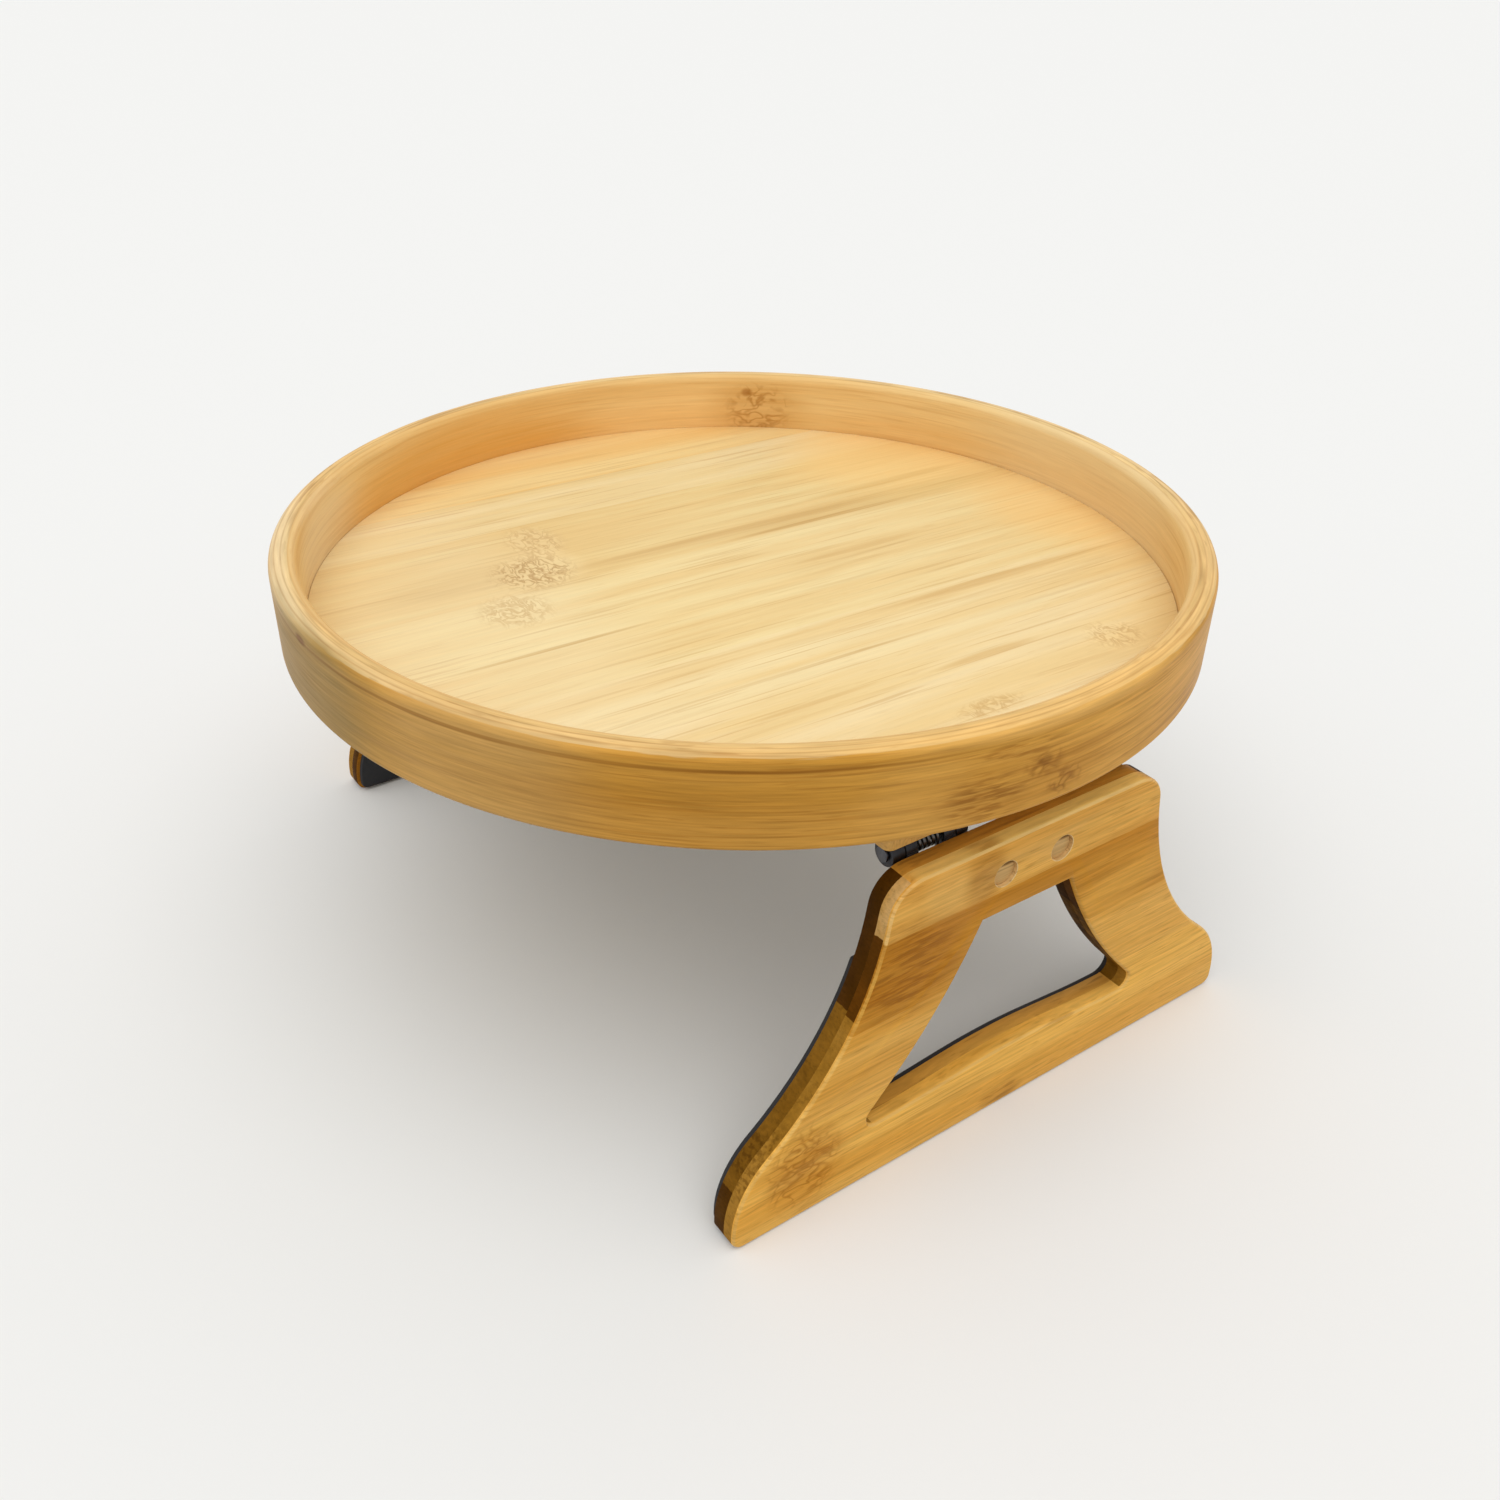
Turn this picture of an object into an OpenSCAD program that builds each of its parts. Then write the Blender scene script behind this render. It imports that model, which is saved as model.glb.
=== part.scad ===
// Round clip-on tray for a sofa arm, in laminated bamboo.
// A tray with a bent rim sits on a cross board. Two flared legs hang from the ends of the
// board on sprung butt hinges. They fold in flat under the tray and swing out over a wide arm.
// The feet stand at z = 0, +Z is up, and the legs face +X and -X.

/* [Tray] */
// Outer diameter of the tray
tray_d = 250; // [240:1:320]
// Height of the rim
rim_h = 23.5; // [18:0.5:40]
// Thickness of the bent rim
rim_t = 7; // [6:0.5:12]
// Rounding of the rim's upper edges
rim_round = 2.4; // [0.8:0.1:2.8]
// Rounding of the rim's lower outer edge
rim_foot_round = 1.6; // [0.4:0.1:2.4]
// Thickness of the floor panel
floor_t = 4.5; // [4:0.5:8]
// Height of the floor panel's underside above the rim's lower edge
floor_lift = 1; // [0.5:0.1:5]
// How far the floor panel's tongue reaches into the rebate in the rim
rebate = 3; // [1.5:0.1:3.5]
// Thickness of the floor panel's tongue
tongue_t = 3; // [2:0.5:3.5]
// Gap between the floor panel's edges and the rim
rebate_gap = 0.1; // [0.05:0.05:0.3]

/* [Cross board] */
// Width of the cross board under the tray
board_w = 78; // [76:1:110]
// Thickness of the cross board
board_t = 9; // [7:0.5:16]
// Least gap between the cross board's corners and the rim
board_corner_gap = 3.2; // [2:0.1:8]
// Rounding of the cross board's upright corners
board_round = 2; // [0.5:0.5:6]
// Shank diameter of the screws that hold the cross board to the floor panel
board_screw_d = 3; // [2.5:0.1:4]
// Head diameter of those screws
board_screw_head_d = 6; // [5:0.1:8]
// Depth of those screws' heads below the board's face
board_head_sink = 0.1; // [0.05:0.05:0.4]
// Depth of those screws in the floor panel
board_screw_bite = 3.2; // [2:0.1:3.6]
// Spacing of those screws along the board
board_screw_dx = 120; // [60:1:150]
// Spacing of those screws across the board
board_screw_dy = 50; // [30:1:60]
// Radial gap between a screw's shank and a hole that it passes freely
free_gap = 0.2; // [0.1:0.05:0.3]

/* [Legs] */
// Height of each leg
leg_h = 88; // [72:1:97]
// Width of each leg across its top edge, before the corners are rounded
leg_top_w = 85; // [82:1:110]
// Width of each leg across its foot
leg_foot_w = 167; // [150:1:200]
// Thickness of each of the two plies that a leg is glued up from
ply_t = 4; // [3.5:0.5:8]
// Gap between the cross board's underside and the legs' top edges
leg_gap = 4; // [3.8:0.1:6]
// How far the cross board reaches over the legs' inner faces
leg_under = 0.4; // [0:0.1:1.6]
// Radius of the legs' top corners
leg_top_round = 9; // [4:0.5:16]
// Depth below the top edge at which the flare of the legs' sides would be upright
flare_start = -3; // [-6:0.5:4]
// Radius of the bulge above each foot corner
bulge_r = 27; // [12:1:40]
// Height of the upright stretch at the foot corners
foot_upright = 4; // [4:0.5:8]
// Radius of the foot corners
foot_round = 3; // [1:0.5:3.5]

/* [Cut-out in each leg] */
// Height of the wood left above the cut-out
top_band_h = 21; // [19:0.5:26]
// Height of the wood left below the cut-out, at its ends
foot_band_h = 17.5; // [12:0.5:24]
// Rise of the cut-out's lower edge towards its middle
foot_arch = 2.5; // [0:0.1:5]
// Width of the cut-out at its top
cut_top_w = 28.6; // [24:0.2:36]
// Width of the cut-out where its curved sides end
cut_foot_w = 80.5; // [60:0.5:92]
// Height of the straight stretch at the bottom of its sides
cut_heel_h = 9.5; // [8:0.5:12]
// Radius of the cut-out's curved sides
cut_side_r = 150; // [90:5:400]
// Radius of its lower corners
cut_corner_r = 3; // [1.5:0.5:3.5]

/* [Dowels] */
// Diameter of the dowels that pin the two plies of a leg
dowel_d = 7; // [5:0.5:10]
// Spacing of the two dowels
dowel_dy = 18; // [14:0.5:22]
// Depth of the dowels below the leg's top edge
dowel_drop = 9.5; // [8:0.5:12]
// Depth at which the dowels sit below the leg's outer face
dowel_sink = 1; // [0.5:0.1:3]
// Wood left behind the dowels at the leg's inner face
dowel_floor = 1; // [0.5:0.1:2]
// Radial gap round the dowels
dowel_gap = 0.05; // [0.02:0.01:0.1]

/* [Hinges] */
// Distance of the hinge's axis from the two wooden faces that it joins
hinge_offset = 3.5; // [3.4:0.1:4.5]
// Radius of the hinge's knuckles
knuckle_r = 3.2; // [2.8:0.1:3.2]
// Diameter of the hinge pin
pin_d = 2.5; // [1.8:0.1:2.6]
// Radial gap between the pin and the knuckles
pin_gap = 0.05; // [0.02:0.01:0.08]
// Thickness of the hinge's leaves
leaf_t = 0.9; // [0.7:0.1:1]
// Reach of each leaf from the hinge's axis
leaf_reach = 18; // [16:0.5:20]
// Length of the hinge along its pin
leaf_len = 22; // [21:0.5:26]
// Distance of each hinge from the leg's centre line
hinge_dy = 25.5; // [24:0.5:27]
// Length of each outer knuckle, on the board's leaf
outer_knuckle = 3.5; // [2.5:0.1:4]
// Length of each inner knuckle, on the leg's leaf
inner_knuckle = 3.3; // [2.5:0.1:3.6]
// Gap between neighbouring knuckles
knuckle_gap = 0.3; // [0.2:0.05:0.5]
// Diameter of the pin's riveted ends
rivet_d = 3.8; // [3:0.1:5]
// Thickness of the pin's riveted ends
rivet_t = 0.8; // [0.5:0.1:1.5]

/* [Hinge screws] */
// Shank diameter of the hinge screws
screw_d = 2.4; // [1.8:0.1:2.8]
// Length of the hinge screws in the wood
screw_bite = 5.5; // [4:0.5:6.5]
// Head diameter of the hinge screws
screw_head_d = 4.4; // [3.6:0.1:4.6]
// Height of the hinge screws' heads
screw_head_h = 1.3; // [0.8:0.1:1.6]
// Distance of the screws from the hinge's axis
screw_out = 12; // [11:0.5:13]
// Spacing of the two screws of a leaf along the pin
screw_dy = 13; // [12:0.5:14]
// Radial gap between a screw and its hole in the wood
screw_gap = 0.05; // [0.02:0.01:0.1]

/* [Torsion springs] */
// Diameter of the spring wire
wire_d = 0.8; // [0.6:0.05:0.9]
// Whole turns of the coil, besides the quarter turn between its arms
coil_turns = 4; // [2:1:4]
// Rise of the coil in one turn
coil_pitch = 1.3; // [1.25:0.05:1.4]
// Reach of each arm from the hinge's axis
arm_reach = 9; // [6:0.5:9.5]
// Radius of the bend that hooks each arm into its leaf
hook_r = 0.5; // [0.45:0.05:0.6]
// Gap between an arm and the leaf that it lies along
arm_gap = 0.05; // [0.02:0.01:0.1]
// Radial gap between a hook and its hole
hook_gap = 0.2; // [0.1:0.05:0.3]

/* [Pads] */
// Thickness of the rubber pads on the legs
leg_pad_t = 2; // [1:0.1:2.2]
// Thickness of the rubber pad under the cross board
board_pad_t = 1.5; // [1:0.1:1.8]
// Distance from a leg pad's edge to the edge of the wood behind it
leg_pad_inset = 1; // [0.5:0.1:2]
// Distance from a leg's top edge down to its pad
leg_pad_drop = 23.5; // [20:0.5:30]
// Distance from the board pad's long edges to the board's
board_pad_inset = 3; // [1:0.5:10]
// Gap between the board pad and the hinge leaves
pad_leaf_gap = 2; // [1:0.5:6]
// Radius of the board pad's corners
board_pad_round = 4; // [1:0.5:8]

/* [Hidden] */
$fn = 96;
ARC_STEPS = 8;
SIDE_STEPS = 16;
ARCH_STEPS = 16;
COIL_RINGS = 8;
WIRE_SIDES = 6;
// How far a cutter runs past the face that it cuts
CUT = 1;
// Least radius of a corner that is drawn inside another
LEAST_ROUND = 0.25;
// Shares of a hinge screw's head: its crown, and the span of its cross recess
HEAD_CROWN = 0.72;
RECESS_SPAN = 0.55;
// Width of the cross recess
RECESS_W = 0.6;
// Share of a hinge screw's shank that is left at its tip
SCREW_TIP = 0.15;
BAMBOO = "#D9A45B";
BAMBOO_PALE = "#E3BE7C";
BAMBOO_DARK = "#C98F45";
BEECH = "#D8BC96";
STEEL = "#A9A9A6";
STEEL_DARK = "#3A3A3C";
RUBBER = "#232325";

tray_r = tray_d / 2;
rim_in_r = tray_r - rim_t;
rebate_r = rim_in_r + rebate;
panel_r = rebate_r - rebate_gap;
board_half_w = board_w / 2;
board_corner_r = rebate_r - board_corner_gap;
board_half_l = sqrt(board_corner_r * board_corner_r - board_half_w * board_half_w);
leg_in_x = board_half_l - leg_under;
leg_out_x = leg_in_x + 2 * ply_t;
board_z = leg_h + leg_gap;
panel_z = board_z + board_t;
rim_z = panel_z - floor_lift;
axis_x = leg_in_x - hinge_offset;
axis_z = board_z - hinge_offset;
leaf_in = hinge_offset - leaf_t;
leaf_notch = knuckle_r + knuckle_gap;
outer_knuckle_y = leaf_len / 2 - outer_knuckle;
inner_knuckle_y = outer_knuckle_y - knuckle_gap - inner_knuckle;
arm_line = leaf_in - arm_gap - wire_d / 2;
coil_half = coil_pitch * (coil_turns + 0.25) / 2;
hook_tip = hinge_offset - arm_gap;
dowel_z = leg_h - dowel_drop;
board_pad_half_l = axis_x - leaf_reach - pad_leaf_gap;
board_pad_half_w = board_half_w - board_pad_inset;
board_head_h = (board_screw_head_d - board_screw_d) / 2;

// Points of an arc round c from angle a to angle b, in n steps. A skip of 1 leaves out the first.
function arc(c, r, a, b, n, skip = 0) =
    [for (i = [skip:n]) c + r * [cos(a + (b - a) * i / n), sin(a + (b - a) * i / n)]];

// A half outline, followed by its mirror image about the centre line.
function both_halves(half) = concat(half, [for (i = [len(half) - 1:-1:0]) [-half[i][0], half[i][1]]]);

// Outlines of a leg are worked out as [distance from its centre line, distance below its top edge].
// These points turn them the right way up.
function upright(pts) = [for (p = pts) [p[0], leg_h - p[1]]];

// Half outline of a leg. Its side is two arcs that meet smoothly: a hollow flare and the bulge
// above the foot. A positive inset draws the outline that far inside the edge.
function leg_side(inset) =
    let (
        du = (leg_foot_w - leg_top_w) / 2,
        dw = leg_h - foot_upright - flare_start,
        both_r = (du * du + dw * dw) / (2 * du),
        turn = asin(dw / both_r),
        flare_r = both_r - bulge_r,
        flare_c = [leg_top_w / 2 + flare_r, flare_start],
        reach = flare_r + leg_top_round,
        drop = leg_top_round - flare_start,
        corner_c = [flare_c[0] - sqrt(reach * reach - drop * drop), leg_top_round],
        lean = asin(drop / reach),
        bulge_c = [leg_foot_w / 2 - bulge_r, leg_h - foot_upright],
        foot_c = [leg_foot_w / 2 - foot_round, leg_h - foot_round]
    )
    concat(
        arc(corner_c, leg_top_round - inset, -90, -lean, ARC_STEPS),
        arc(flare_c, flare_r + inset, 180 - lean, 180 - turn, SIDE_STEPS, 1),
        arc(bulge_c, bulge_r - inset, -turn, 0, SIDE_STEPS, 1),
        arc(foot_c, max(foot_round - inset, LEAST_ROUND), 0, 90, ARC_STEPS)
    );

// Half outline of a leg's cut-out, grown by the given distance. Each side is an arc that bows
// into the opening, then a straight heel, then a round corner. The lower edge rises in the middle.
function cut_side(grow) =
    let (
        top = [cut_top_w / 2, top_band_h],
        heel = [cut_foot_w / 2, leg_h - foot_band_h - cut_heel_h],
        chord = heel - top,
        away = sqrt(cut_side_r * cut_side_r - chord * chord / 4),
        c = (top + heel) / 2 + away * [chord[1], -chord[0]] / norm(chord),
        start = acos((top[0] - c[0]) / cut_side_r),
        finish = acos((heel[0] - c[0]) / cut_side_r),
        out = [cos(finish), sin(finish)],
        down = [sin(finish), -cos(finish)],
        low = leg_h - foot_band_h + grow,
        round_r = cut_corner_r + grow,
        side_end = c + (cut_side_r - grow) * out,
        heel_l = (low - round_r - side_end[1] - round_r * out[1]) / down[1],
        corner_c = side_end + heel_l * down + round_r * out
    )
    concat(
        arc(c, cut_side_r - grow, start, finish, SIDE_STEPS),
        arc(corner_c, round_r, finish - 180, 90, ARC_STEPS),
        [for (i = [1:ARCH_STEPS - 1])
            let (part = 1 - i / ARCH_STEPS)
            [corner_c[0] * part, low - foot_arch * (1 + cos(180 * part)) / 2]]
    );

// Centre line of a torsion spring about the Y axis: hook, arm, coil, arm, hook.
function spring_path() =
    let (
        turn = 360 * (coil_turns + 0.25),
        rings = COIL_RINGS * coil_turns + COIL_RINGS / 4,
        bend_x = hook_r - arm_reach,
        first_bend = [for (a = [0:30:90])
            [bend_x - hook_r * cos(a), -coil_half, arm_line + hook_r * (1 - sin(a))]],
        coil = [for (i = [0:rings])
            let (a = 90 - turn * i / rings)
            [arm_line * cos(a), coil_pitch * (i / COIL_RINGS) - coil_half, arm_line * sin(a)]],
        last_bend = [for (a = [90:-30:0])
            [arm_line + hook_r * (1 - sin(a)), coil_half, bend_x - hook_r * cos(a)]]
    )
    concat(
        [[-arm_reach, -coil_half, hook_tip]],
        first_bend,
        coil,
        last_bend,
        [[hook_tip, coil_half, -arm_reach]]
    );

// Least gap between points of the spring's wire that lie half a turn or more apart along it.
function least_gap(path) = min([for (i = [0:len(path) - 1], j = [i + COIL_RINGS / 2:1:len(path) - 1])
    norm(path[i] - path[j])]) - wire_d;

// Tube of radius r along a path that mostly runs round the Y axis.
module wire(path, r, sides) {
    n = len(path);
    rings = [for (i = [0:n - 1])
        let (
            t0 = path[min(i + 1, n - 1)] - path[max(i - 1, 0)],
            t = t0 / norm(t0),
            side0 = [0, 1, 0] - t[1] * t,
            side = side0 / norm(side0),
            up = cross(t, side)
        )
        [for (k = [0:sides - 1]) path[i] + r * (cos(360 * k / sides) * side + sin(360 * k / sides) * up)]];
    skin = [for (i = [0:n - 2], k = [0:sides - 1])
        let (
            a = i * sides + k,
            b = i * sides + (k + 1) % sides
        )
        [[a, a + sides, b + sides], [a, b + sides, b]]];
    caps = concat(
        [for (k = [1:sides - 2]) [0, k, k + 1]],
        [for (k = [1:sides - 2]) [(n - 1) * sides, (n - 1) * sides + k + 1, (n - 1) * sides + k]]
    );
    polyhedron([for (ring = rings) each ring], concat([for (pair = skin) each pair], caps));
}

// Plate with round upright corners, centred on the Z axis.
module round_plate(l, w, h, r) {
    translate([-l / 2 + r, -w / 2, 0]) cube([l - 2 * r, w, h]);
    translate([-l / 2, -w / 2 + r, 0]) cube([l, w - 2 * r, h]);
    for (x = [-1, 1], y = [-1, 1])
        translate([x * (l / 2 - r), y * (w / 2 - r), 0]) cylinder(r = r, h = h);
}

// Slab that stands across the X axis, from x0 to x1, with the given upright outline.
module slab(pts, x0, x1) {
    translate([x0, 0, 0]) rotate([90, 0, 90]) linear_extrude(height = x1 - x0) polygon(upright(pts));
}

// Round bar along Y, from y0 to y1.
module bar_y(r, y0, y1) {
    translate([0, y0, 0]) rotate([-90, 0, 0]) cylinder(r = r, h = y1 - y0);
}

// Round bar along X, from x0 to x1.
module bar_x(r, x0, x1) {
    translate([x0, 0, 0]) rotate([0, 90, 0]) cylinder(r = r, h = x1 - x0);
}

// Swaps X and Z, which turns what lies under the board into what lies against a leg.
module leg_side_up() {
    mirror([1, 0, -1]) children();
}

// Puts children at a hinge of the +X leg: row -1 is the front one and row 1 the back one.
module at_hinge(row) {
    translate([axis_x, row * hinge_dy, axis_z]) children();
}

// Puts children at the two screw places of a leaf, on the face that the heads bear on.
module at_leaf_screws() {
    for (y = [-1, 1])
        translate([-screw_out, y * screw_dy / 2, leaf_in]) children();
}

// Puts children at the four screws of the cross board, on its underside.
module at_board_screws() {
    for (x = [-1, 1], y = [-1, 1])
        translate([x * board_screw_dx / 2, y * board_screw_dy / 2, board_z]) children();
}

// Pan-head wood screw that points up, with its head below z = 0 and a cross recess.
module hinge_screw() {
    span = screw_head_d * RECESS_SPAN;
    straight = leaf_t + screw_bite - screw_d;
    difference() {
        union() {
            translate([0, 0, -screw_head_h])
                cylinder(d1 = screw_head_d * HEAD_CROWN, d2 = screw_head_d, h = screw_head_h);
            cylinder(d = screw_d, h = straight);
            translate([0, 0, straight]) cylinder(d1 = screw_d, d2 = screw_d * SCREW_TIP, h = screw_d);
        }
        for (a = [0, 90])
            rotate([0, 0, a])
                translate([-span / 2, -RECESS_W / 2, -screw_head_h - CUT])
                    cube([span, RECESS_W, CUT + screw_head_h / 2]);
    }
}

// Hole that the screw of a leaf cuts in the wood behind it.
module hinge_screw_hole() {
    cylinder(d = screw_d + 2 * screw_gap, h = leaf_t + screw_bite + screw_gap);
}

// Half of a butt hinge, lying under the board: a plate with knuckles on the given stretches of Y
// and a hole at hook_y for the spring's hook.
module leaf(knuckles, hook_y) {
    difference() {
        union() {
            translate([-leaf_reach, -leaf_len / 2, leaf_in])
                cube([leaf_reach - leaf_notch, leaf_len, leaf_t]);
            for (k = knuckles) {
                translate([-leaf_notch, k[0], leaf_in]) cube([leaf_notch, k[1] - k[0], leaf_t]);
                bar_y(knuckle_r, k[0], k[1]);
            }
        }
        bar_y(pin_d / 2 + pin_gap, -leaf_len, leaf_len);
        at_leaf_screws()
            translate([0, 0, -CUT]) cylinder(d = screw_d + 2 * free_gap, h = leaf_t + 2 * CUT);
        translate([-arm_reach, hook_y, leaf_in - CUT])
            cylinder(r = wire_d / 2 + hook_gap, h = leaf_t + 2 * CUT);
    }
}

// Bent rim: an upright ring with rounded edges and a rebate below for the floor panel.
module tray_rim() {
    shoulder = floor_lift + tongue_t;
    profile = concat(
        arc([tray_r - rim_foot_round, rim_foot_round], rim_foot_round, -90, 0, ARC_STEPS),
        arc([tray_r - rim_round, rim_h - rim_round], rim_round, 0, 90, ARC_STEPS),
        arc([rim_in_r + rim_round, rim_h - rim_round], rim_round, 90, 180, ARC_STEPS),
        [[rim_in_r, shoulder], [rebate_r, shoulder], [rebate_r, 0]]
    );
    color(BAMBOO) translate([0, 0, rim_z]) rotate_extrude() polygon(profile);
}

// Floor panel, glued up into the rebate from below by the tongue round its edge.
module floor_panel() {
    color(BAMBOO_PALE) difference() {
        translate([0, 0, panel_z]) {
            cylinder(r = panel_r, h = tongue_t);
            cylinder(r = rim_in_r - rebate_gap, h = floor_t);
        }
        at_board_screws()
            cylinder(d = board_screw_d + 2 * screw_gap, h = board_t + board_screw_bite + screw_gap);
    }
}

// Board across the underside that carries the hinges at its ends.
module cross_board() {
    color(BAMBOO_PALE) difference() {
        translate([0, 0, board_z]) round_plate(2 * board_half_l, board_w, board_t, board_round);
        at_board_screws() {
            translate([0, 0, -CUT])
                cylinder(d = board_screw_d + 2 * free_gap, h = board_t + 2 * CUT);
            translate([0, 0, -CUT])
                cylinder(d = board_screw_head_d, h = CUT + board_head_sink);
            translate([0, 0, board_head_sink])
                cylinder(d1 = board_screw_head_d, d2 = board_screw_d, h = board_head_h);
        }
        for (side = [0, 1], row = [-1, 1])
            mirror([side, 0, 0]) at_hinge(row) at_leaf_screws() hinge_screw_hole();
    }
}

// Countersunk screws that hold the cross board to the floor panel.
module cross_board_screws() {
    color(STEEL) at_board_screws() translate([0, 0, board_head_sink]) {
        cylinder(d1 = board_screw_head_d, d2 = board_screw_d, h = board_head_h);
        cylinder(d = board_screw_d, h = board_t + board_screw_bite - board_head_sink);
    }
}

// Rubber sheet under the cross board that lies on the sofa arm.
module cross_board_pad() {
    color(RUBBER) translate([0, 0, board_z - board_pad_t])
        round_plate(2 * board_pad_half_l, 2 * board_pad_half_w, board_pad_t, board_pad_round);
}

// Screws of all the leaves on the cross board.
module hinge_board_screws() {
    color(STEEL) for (side = [0, 1], row = [-1, 1])
        mirror([side, 0, 0]) at_hinge(row) at_leaf_screws() hinge_screw();
}

// The modules below are for the +X leg. The other one is its mirror image.

// One of a leg's two plies, from x0 to x1, with the holes that reach it.
module ply(x0, x1) {
    difference() {
        slab(both_halves(leg_side(0)), x0, x1);
        slab(both_halves(cut_side(0)), x0 - CUT, x1 + CUT);
        for (y = [-1, 1])
            translate([0, y * dowel_dy / 2, dowel_z])
                bar_x(dowel_d / 2, leg_in_x + dowel_floor, leg_out_x + CUT);
        for (row = [-1, 1])
            at_hinge(row) leg_side_up() at_leaf_screws() hinge_screw_hole();
    }
}

// Outer ply of a leg.
module leg_outer_ply() {
    color(BAMBOO) ply(leg_in_x + ply_t, leg_out_x);
}

// Inner ply of a leg, which carries the hinge leaves.
module leg_inner_ply() {
    color(BAMBOO_DARK) ply(leg_in_x, leg_in_x + ply_t);
}

// Dowels through both plies, sunk below the outer face.
module leg_dowels() {
    color(BEECH) for (y = [-1, 1])
        translate([0, y * dowel_dy / 2, dowel_z])
            bar_x(dowel_d / 2 - dowel_gap, leg_in_x + dowel_floor, leg_out_x - dowel_sink);
}

// Rubber sheet on a leg's inner face, round the cut-out.
module leg_pad() {
    color(RUBBER) difference() {
        slab(both_halves(leg_side(leg_pad_inset)), leg_in_x - leg_pad_t, leg_in_x);
        slab(both_halves(cut_side(leg_pad_inset)), leg_in_x - leg_pad_t - CUT, leg_in_x + CUT);
        translate([0, -leg_foot_w, leg_h - leg_pad_drop]) cube([leg_out_x, 2 * leg_foot_w, leg_h]);
    }
}

// Screws of the leaves on a leg.
module leg_hinge_screws() {
    color(STEEL) for (row = [-1, 1])
        at_hinge(row) leg_side_up() at_leaf_screws() hinge_screw();
}

// Leaf of a hinge under the cross board, with the two outer knuckles.
module hinge_board_leaf(row) {
    color(STEEL_DARK) at_hinge(row)
        leaf([[-leaf_len / 2, -outer_knuckle_y], [outer_knuckle_y, leaf_len / 2]], -coil_half);
}

// Leaf of a hinge on a leg, with the two inner knuckles.
module hinge_leg_leaf(row) {
    near = inner_knuckle_y;
    far = near + inner_knuckle;
    color(STEEL_DARK) at_hinge(row) leg_side_up() leaf([[-far, -near], [near, far]], coil_half);
}

// Pin of a hinge, riveted over at both ends.
module hinge_pin(row) {
    end = leaf_len / 2;
    color(STEEL) at_hinge(row) {
        bar_y(pin_d / 2, -end, end);
        bar_y(rivet_d / 2, -end - rivet_t, -end);
        bar_y(rivet_d / 2, end, end + rivet_t);
    }
}

// Torsion spring round a hinge pin, hooked into both leaves.
module hinge_spring(row) {
    color(STEEL) at_hinge(row) wire(spring_path(), wire_d / 2, WIRE_SIDES);
}

echo(least_gap_of_a_spring_to_itself = least_gap(spring_path()));

tray_rim();
floor_panel();
cross_board();
cross_board_screws();
cross_board_pad();
hinge_board_screws();
leg_outer_ply();  // right_leg_outer_ply
leg_inner_ply();  // right_leg_inner_ply
leg_dowels();  // right_leg_dowels
leg_pad();  // right_leg_pad
leg_hinge_screws();  // right_leg_hinge_screws
hinge_board_leaf(-1);  // right_front_hinge_board_leaf
hinge_leg_leaf(-1);  // right_front_hinge_leg_leaf
hinge_pin(-1);  // right_front_hinge_pin
hinge_spring(-1);  // right_front_hinge_spring
hinge_board_leaf(1);  // right_back_hinge_board_leaf
hinge_leg_leaf(1);  // right_back_hinge_leg_leaf
hinge_pin(1);  // right_back_hinge_pin
hinge_spring(1);  // right_back_hinge_spring
mirror([1, 0, 0]) leg_outer_ply();  // left_leg_outer_ply
mirror([1, 0, 0]) leg_inner_ply();  // left_leg_inner_ply
mirror([1, 0, 0]) leg_dowels();  // left_leg_dowels
mirror([1, 0, 0]) leg_pad();  // left_leg_pad
mirror([1, 0, 0]) leg_hinge_screws();  // left_leg_hinge_screws
mirror([1, 0, 0]) hinge_board_leaf(-1);  // left_front_hinge_board_leaf
mirror([1, 0, 0]) hinge_leg_leaf(-1);  // left_front_hinge_leg_leaf
mirror([1, 0, 0]) hinge_pin(-1);  // left_front_hinge_pin
mirror([1, 0, 0]) hinge_spring(-1);  // left_front_hinge_spring
mirror([1, 0, 0]) hinge_board_leaf(1);  // left_back_hinge_board_leaf
mirror([1, 0, 0]) hinge_leg_leaf(1);  // left_back_hinge_leg_leaf
mirror([1, 0, 0]) hinge_pin(1);  // left_back_hinge_pin
mirror([1, 0, 0]) hinge_spring(1);  // left_back_hinge_spring
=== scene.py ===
"""Sofa arm tray: a round bamboo tray on a cross board, with two sprung bamboo legs.

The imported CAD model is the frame. Sizes are in metres, z is up from the feet, the legs face +X
and -X, and the centre of the tray is over the origin.
"""
import logging
from collections.abc import Callable, Iterable
from dataclasses import dataclass, replace
from enum import Enum, IntEnum
from functools import cache
from math import cos, pi, radians, sin

import bmesh
import bpy
from mathutils import Matrix, Vector


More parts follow.
